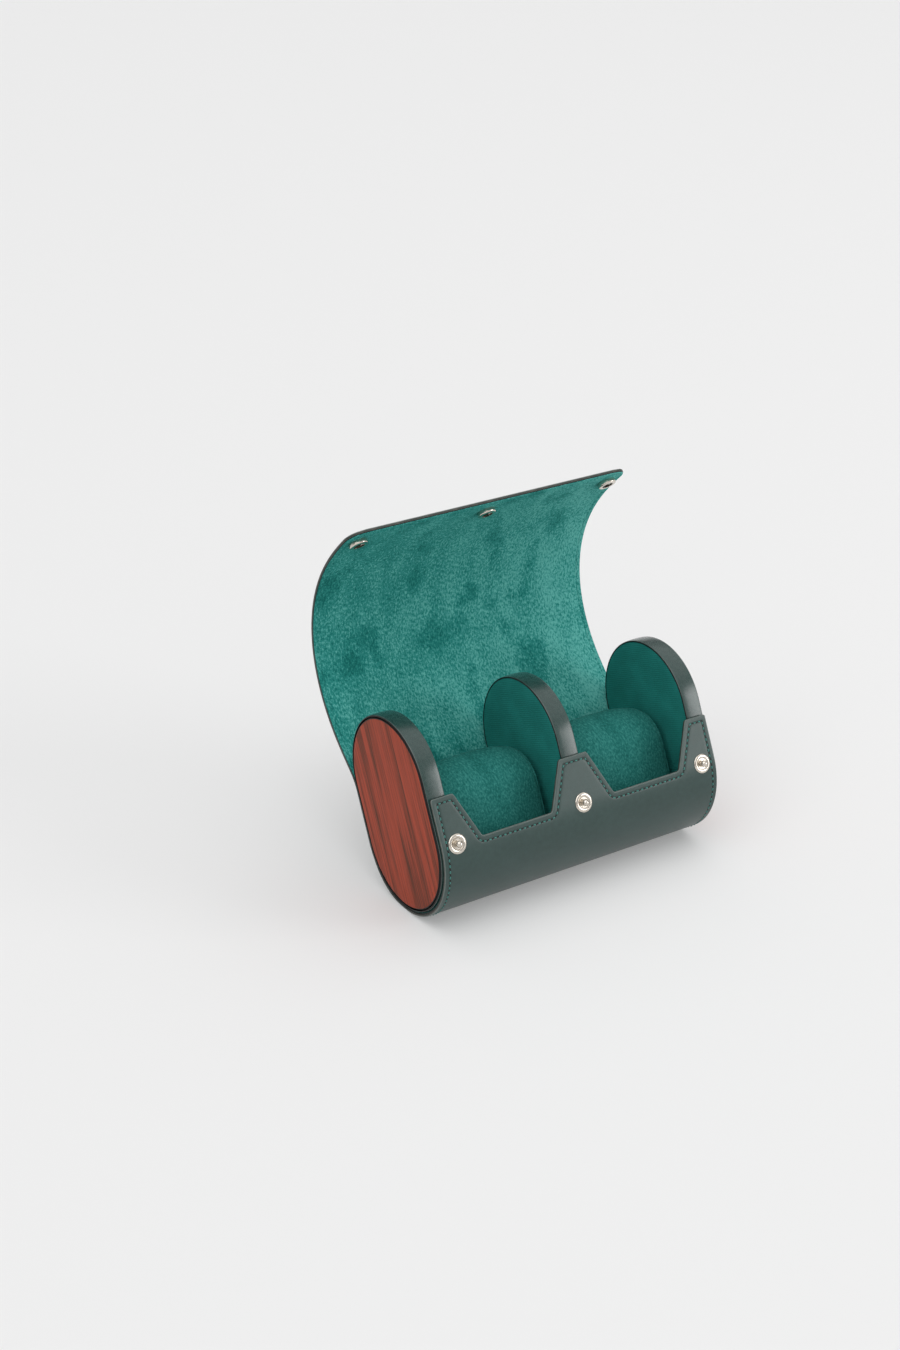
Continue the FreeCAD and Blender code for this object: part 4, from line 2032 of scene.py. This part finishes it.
@dataclass
class Studio:
    """Pale floor, soft light and the photograph's view."""

    roll: Roll
    floor_size: float = 14.0
    floor_colour: Colour = (0.82, 0.82, 0.82, 1.0)
    shown_colour: Colour = (0.88, 0.88, 0.88, 1.0)
    front: Colour = (0.85, 0.85, 0.85, 1.0)
    back: Colour = (0.26, 0.26, 0.26, 1.0)
    zenith: Colour = (1.0, 1.0, 1.0, 1.0)
    world_strength: float = 0.56
    shown_share: float = 0.22
    suns: tuple[Lamp, ...] = (
        ("key", (-0.60, -0.40, 1.0), 62.0, 0.95),
        ("top", (0.20, 0.10, 1.0), 84.0, 0.75),
    )
    panel: Lamp = ("front", (2.40, -2.40, 1.08), 1.50, 34.2)
    dim_span: tuple[float, float] = (-0.8, 0.5)
    rise_span: tuple[float, float] = (0.1, 0.85)
    pale_span: tuple[float, float] = (0.05, 0.30)
    picture_height: float = 1350.0
    sensor: float = 36.0
    farthest: float = 50.0
    focal_pixels: float = 2222.3
    eye: tuple[float, float, float] = (-0.54927, -0.77288, 0.51400)
    azimuth: float = math.radians(-32.88)
    elevation: float = math.radians(26.04)

    def build(self) -> None:
        """Builds the floor, the lights and the camera."""
        self.build_floor()
        self.build_world()
        for sun in self.suns:
            self.build_sun(*sun)
        self.build_panel(*self.panel)
        self.build_camera()

    def build_floor(self) -> None:
        """Builds a wide pale floor; a share of it shows its plain colour, so that shadows stay light."""
        tree = ShaderTree(bpy.data.materials.new("studio_floor"))
        shaded = tree.node("ShaderNodeBsdfDiffuse", None, {"Color": self.floor_colour})
        shown = tree.node("ShaderNodeEmission", None, {"Color": self.shown_colour})
        share = self.seen(tree) * self.shown_share
        floor = tree.node("ShaderNodeMixShader", None, {0: share, 1: shaded, 2: shown})
        tree.end("ShaderNodeOutputMaterial", floor)
        half = self.floor_size / 2
        mesh = bpy.data.meshes.new("studio_floor")
        corners = [(-half, -half, 0), (half, -half, 0), (half, half, 0), (-half, half, 0)]
        mesh.from_pydata(corners, [], [(0, 1, 2, 3)])
        mesh.materials.append(tree.owner)
        placed("studio_floor", mesh)

    @staticmethod
    def seen(tree: ShaderTree) -> Socket:
        """1 for a ray that shows the studio to the camera, straight or through gloss or glass."""
        kinds = ("Is Camera Ray", "Is Glossy Ray", "Is Transmission Ray")
        camera, glossy, through = (tree.node("ShaderNodeLightPath", output=kind) for kind in kinds)
        return tree.math("MAXIMUM", camera, tree.math("MAXIMUM", glossy, through))

    def build_world(self) -> None:
        """Gives the world a sky, bright above, pale in front and dim behind, that shows pale low down."""
        tree = ShaderTree(bpy.data.worlds.new("studio"))
        place = tree.node("ShaderNodeTexCoord", output="Generated")
        depth = tree.node("ShaderNodeSeparateXYZ", None, {0: place}, "Y")
        height = tree.node("ShaderNodeSeparateXYZ", None, {0: place}, "Z")
        horizon = tree.mix(tree.step(depth, *self.dim_span), self.front, self.back)
        colour = tree.mix(tree.step(height, *self.rise_span), horizon, self.zenith)
        sky = tree.node("ShaderNodeBackground", None, {"Color": colour, "Strength": self.world_strength})
        pale = tree.node("ShaderNodeBackground", None, {"Color": self.shown_colour})
        low = 1.0 - tree.step(height, *self.pale_span)
        studio = tree.node("ShaderNodeMixShader", None, {0: self.seen(tree) * low, 1: sky, 2: pale})
        bpy.context.scene.world = tree.end("ShaderNodeOutputWorld", studio)

    def target(self) -> Vector:
        """Middle of the boards, which the camera was set by."""
        return Vector(self.roll.leaning(0.0, 0.0, 0.0))

    @staticmethod
    def aim(made: bpy.types.Object, way: Vector) -> None:
        """Turns a lamp or camera to look along a direction."""
        made.rotation_euler = way.to_track_quat("-Z", "Y").to_euler()

    def build_sun(self, name: str, place: tuple[float, float, float], spread: float, strength: float) -> None:
        """Builds a wide soft light that is even over the whole floor.

        Args:
            name: Its name.
            place: Direction that it shines from.
            spread: Angle that it fills in the sky, in degrees.
            strength: Its strength, in watts per square metre.
        """
        sun = bpy.data.lights.new(name, "SUN")
        sun.angle = math.radians(spread)
        sun.energy = strength
        self.aim(placed(name, sun), -Vector(place))

    def build_panel(self, name: str, place: tuple[float, float, float], size: float, power: float) -> None:
        """Builds a square soft panel lamp that faces the roll.

        Args:
            name: Its name.
            place: Its place from the middle of the boards.
            size: Length of its sides.
            power: Its power, in watts.
        """
        lamp = bpy.data.lights.new(name, "AREA")
        lamp.size = size
        lamp.energy = power
        made = placed(name, lamp)
        made.location = self.target() + Vector(place)
        self.aim(made, -Vector(place))

    def build_camera(self) -> None:
        """Sets the camera at the photograph's view."""
        lens = bpy.data.cameras.new("view")
        lens.sensor_width = self.sensor
        lens.lens = self.sensor * self.focal_pixels / self.picture_height
        lens.clip_end = self.farthest
        camera = placed("view", lens)
        camera.location = self.target() + Vector(self.eye)
        level = math.cos(self.elevation)
        right, back = math.sin(self.azimuth) * level, math.cos(self.azimuth) * level
        self.aim(camera, Vector((-right, back, -math.sin(self.elevation))))
        bpy.context.scene.camera = camera
        bpy.context.scene.view_settings.view_transform = "Standard"


def main() -> None:
    """Builds the roll and its studio, and reports each piece."""
    logging.basicConfig(level=logging.INFO, format="%(name)s: %(message)s")
    half_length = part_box("right_end_wood")[1].x
    half_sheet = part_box("wrap_leather")[1].x
    roll = Roll(half_length, half_sheet)
    Studio(roll).build()
    shop = Workshop(roll, FinishShelf())
    made = Wrap(shop, Sheet(roll, SheetPath(roll))).build()
    made += Boards(shop).build()
    for name, side in (("cushion_left", -1), ("cushion_right", 1)):
        made += Cushion(shop, name, side * roll.bay_middle).build()
    Snaps(shop).build()
    for piece in made:
        log.info("%s: %d faces", piece.name, len(piece.data.polygons))


if __name__ == "__main__":
    main()
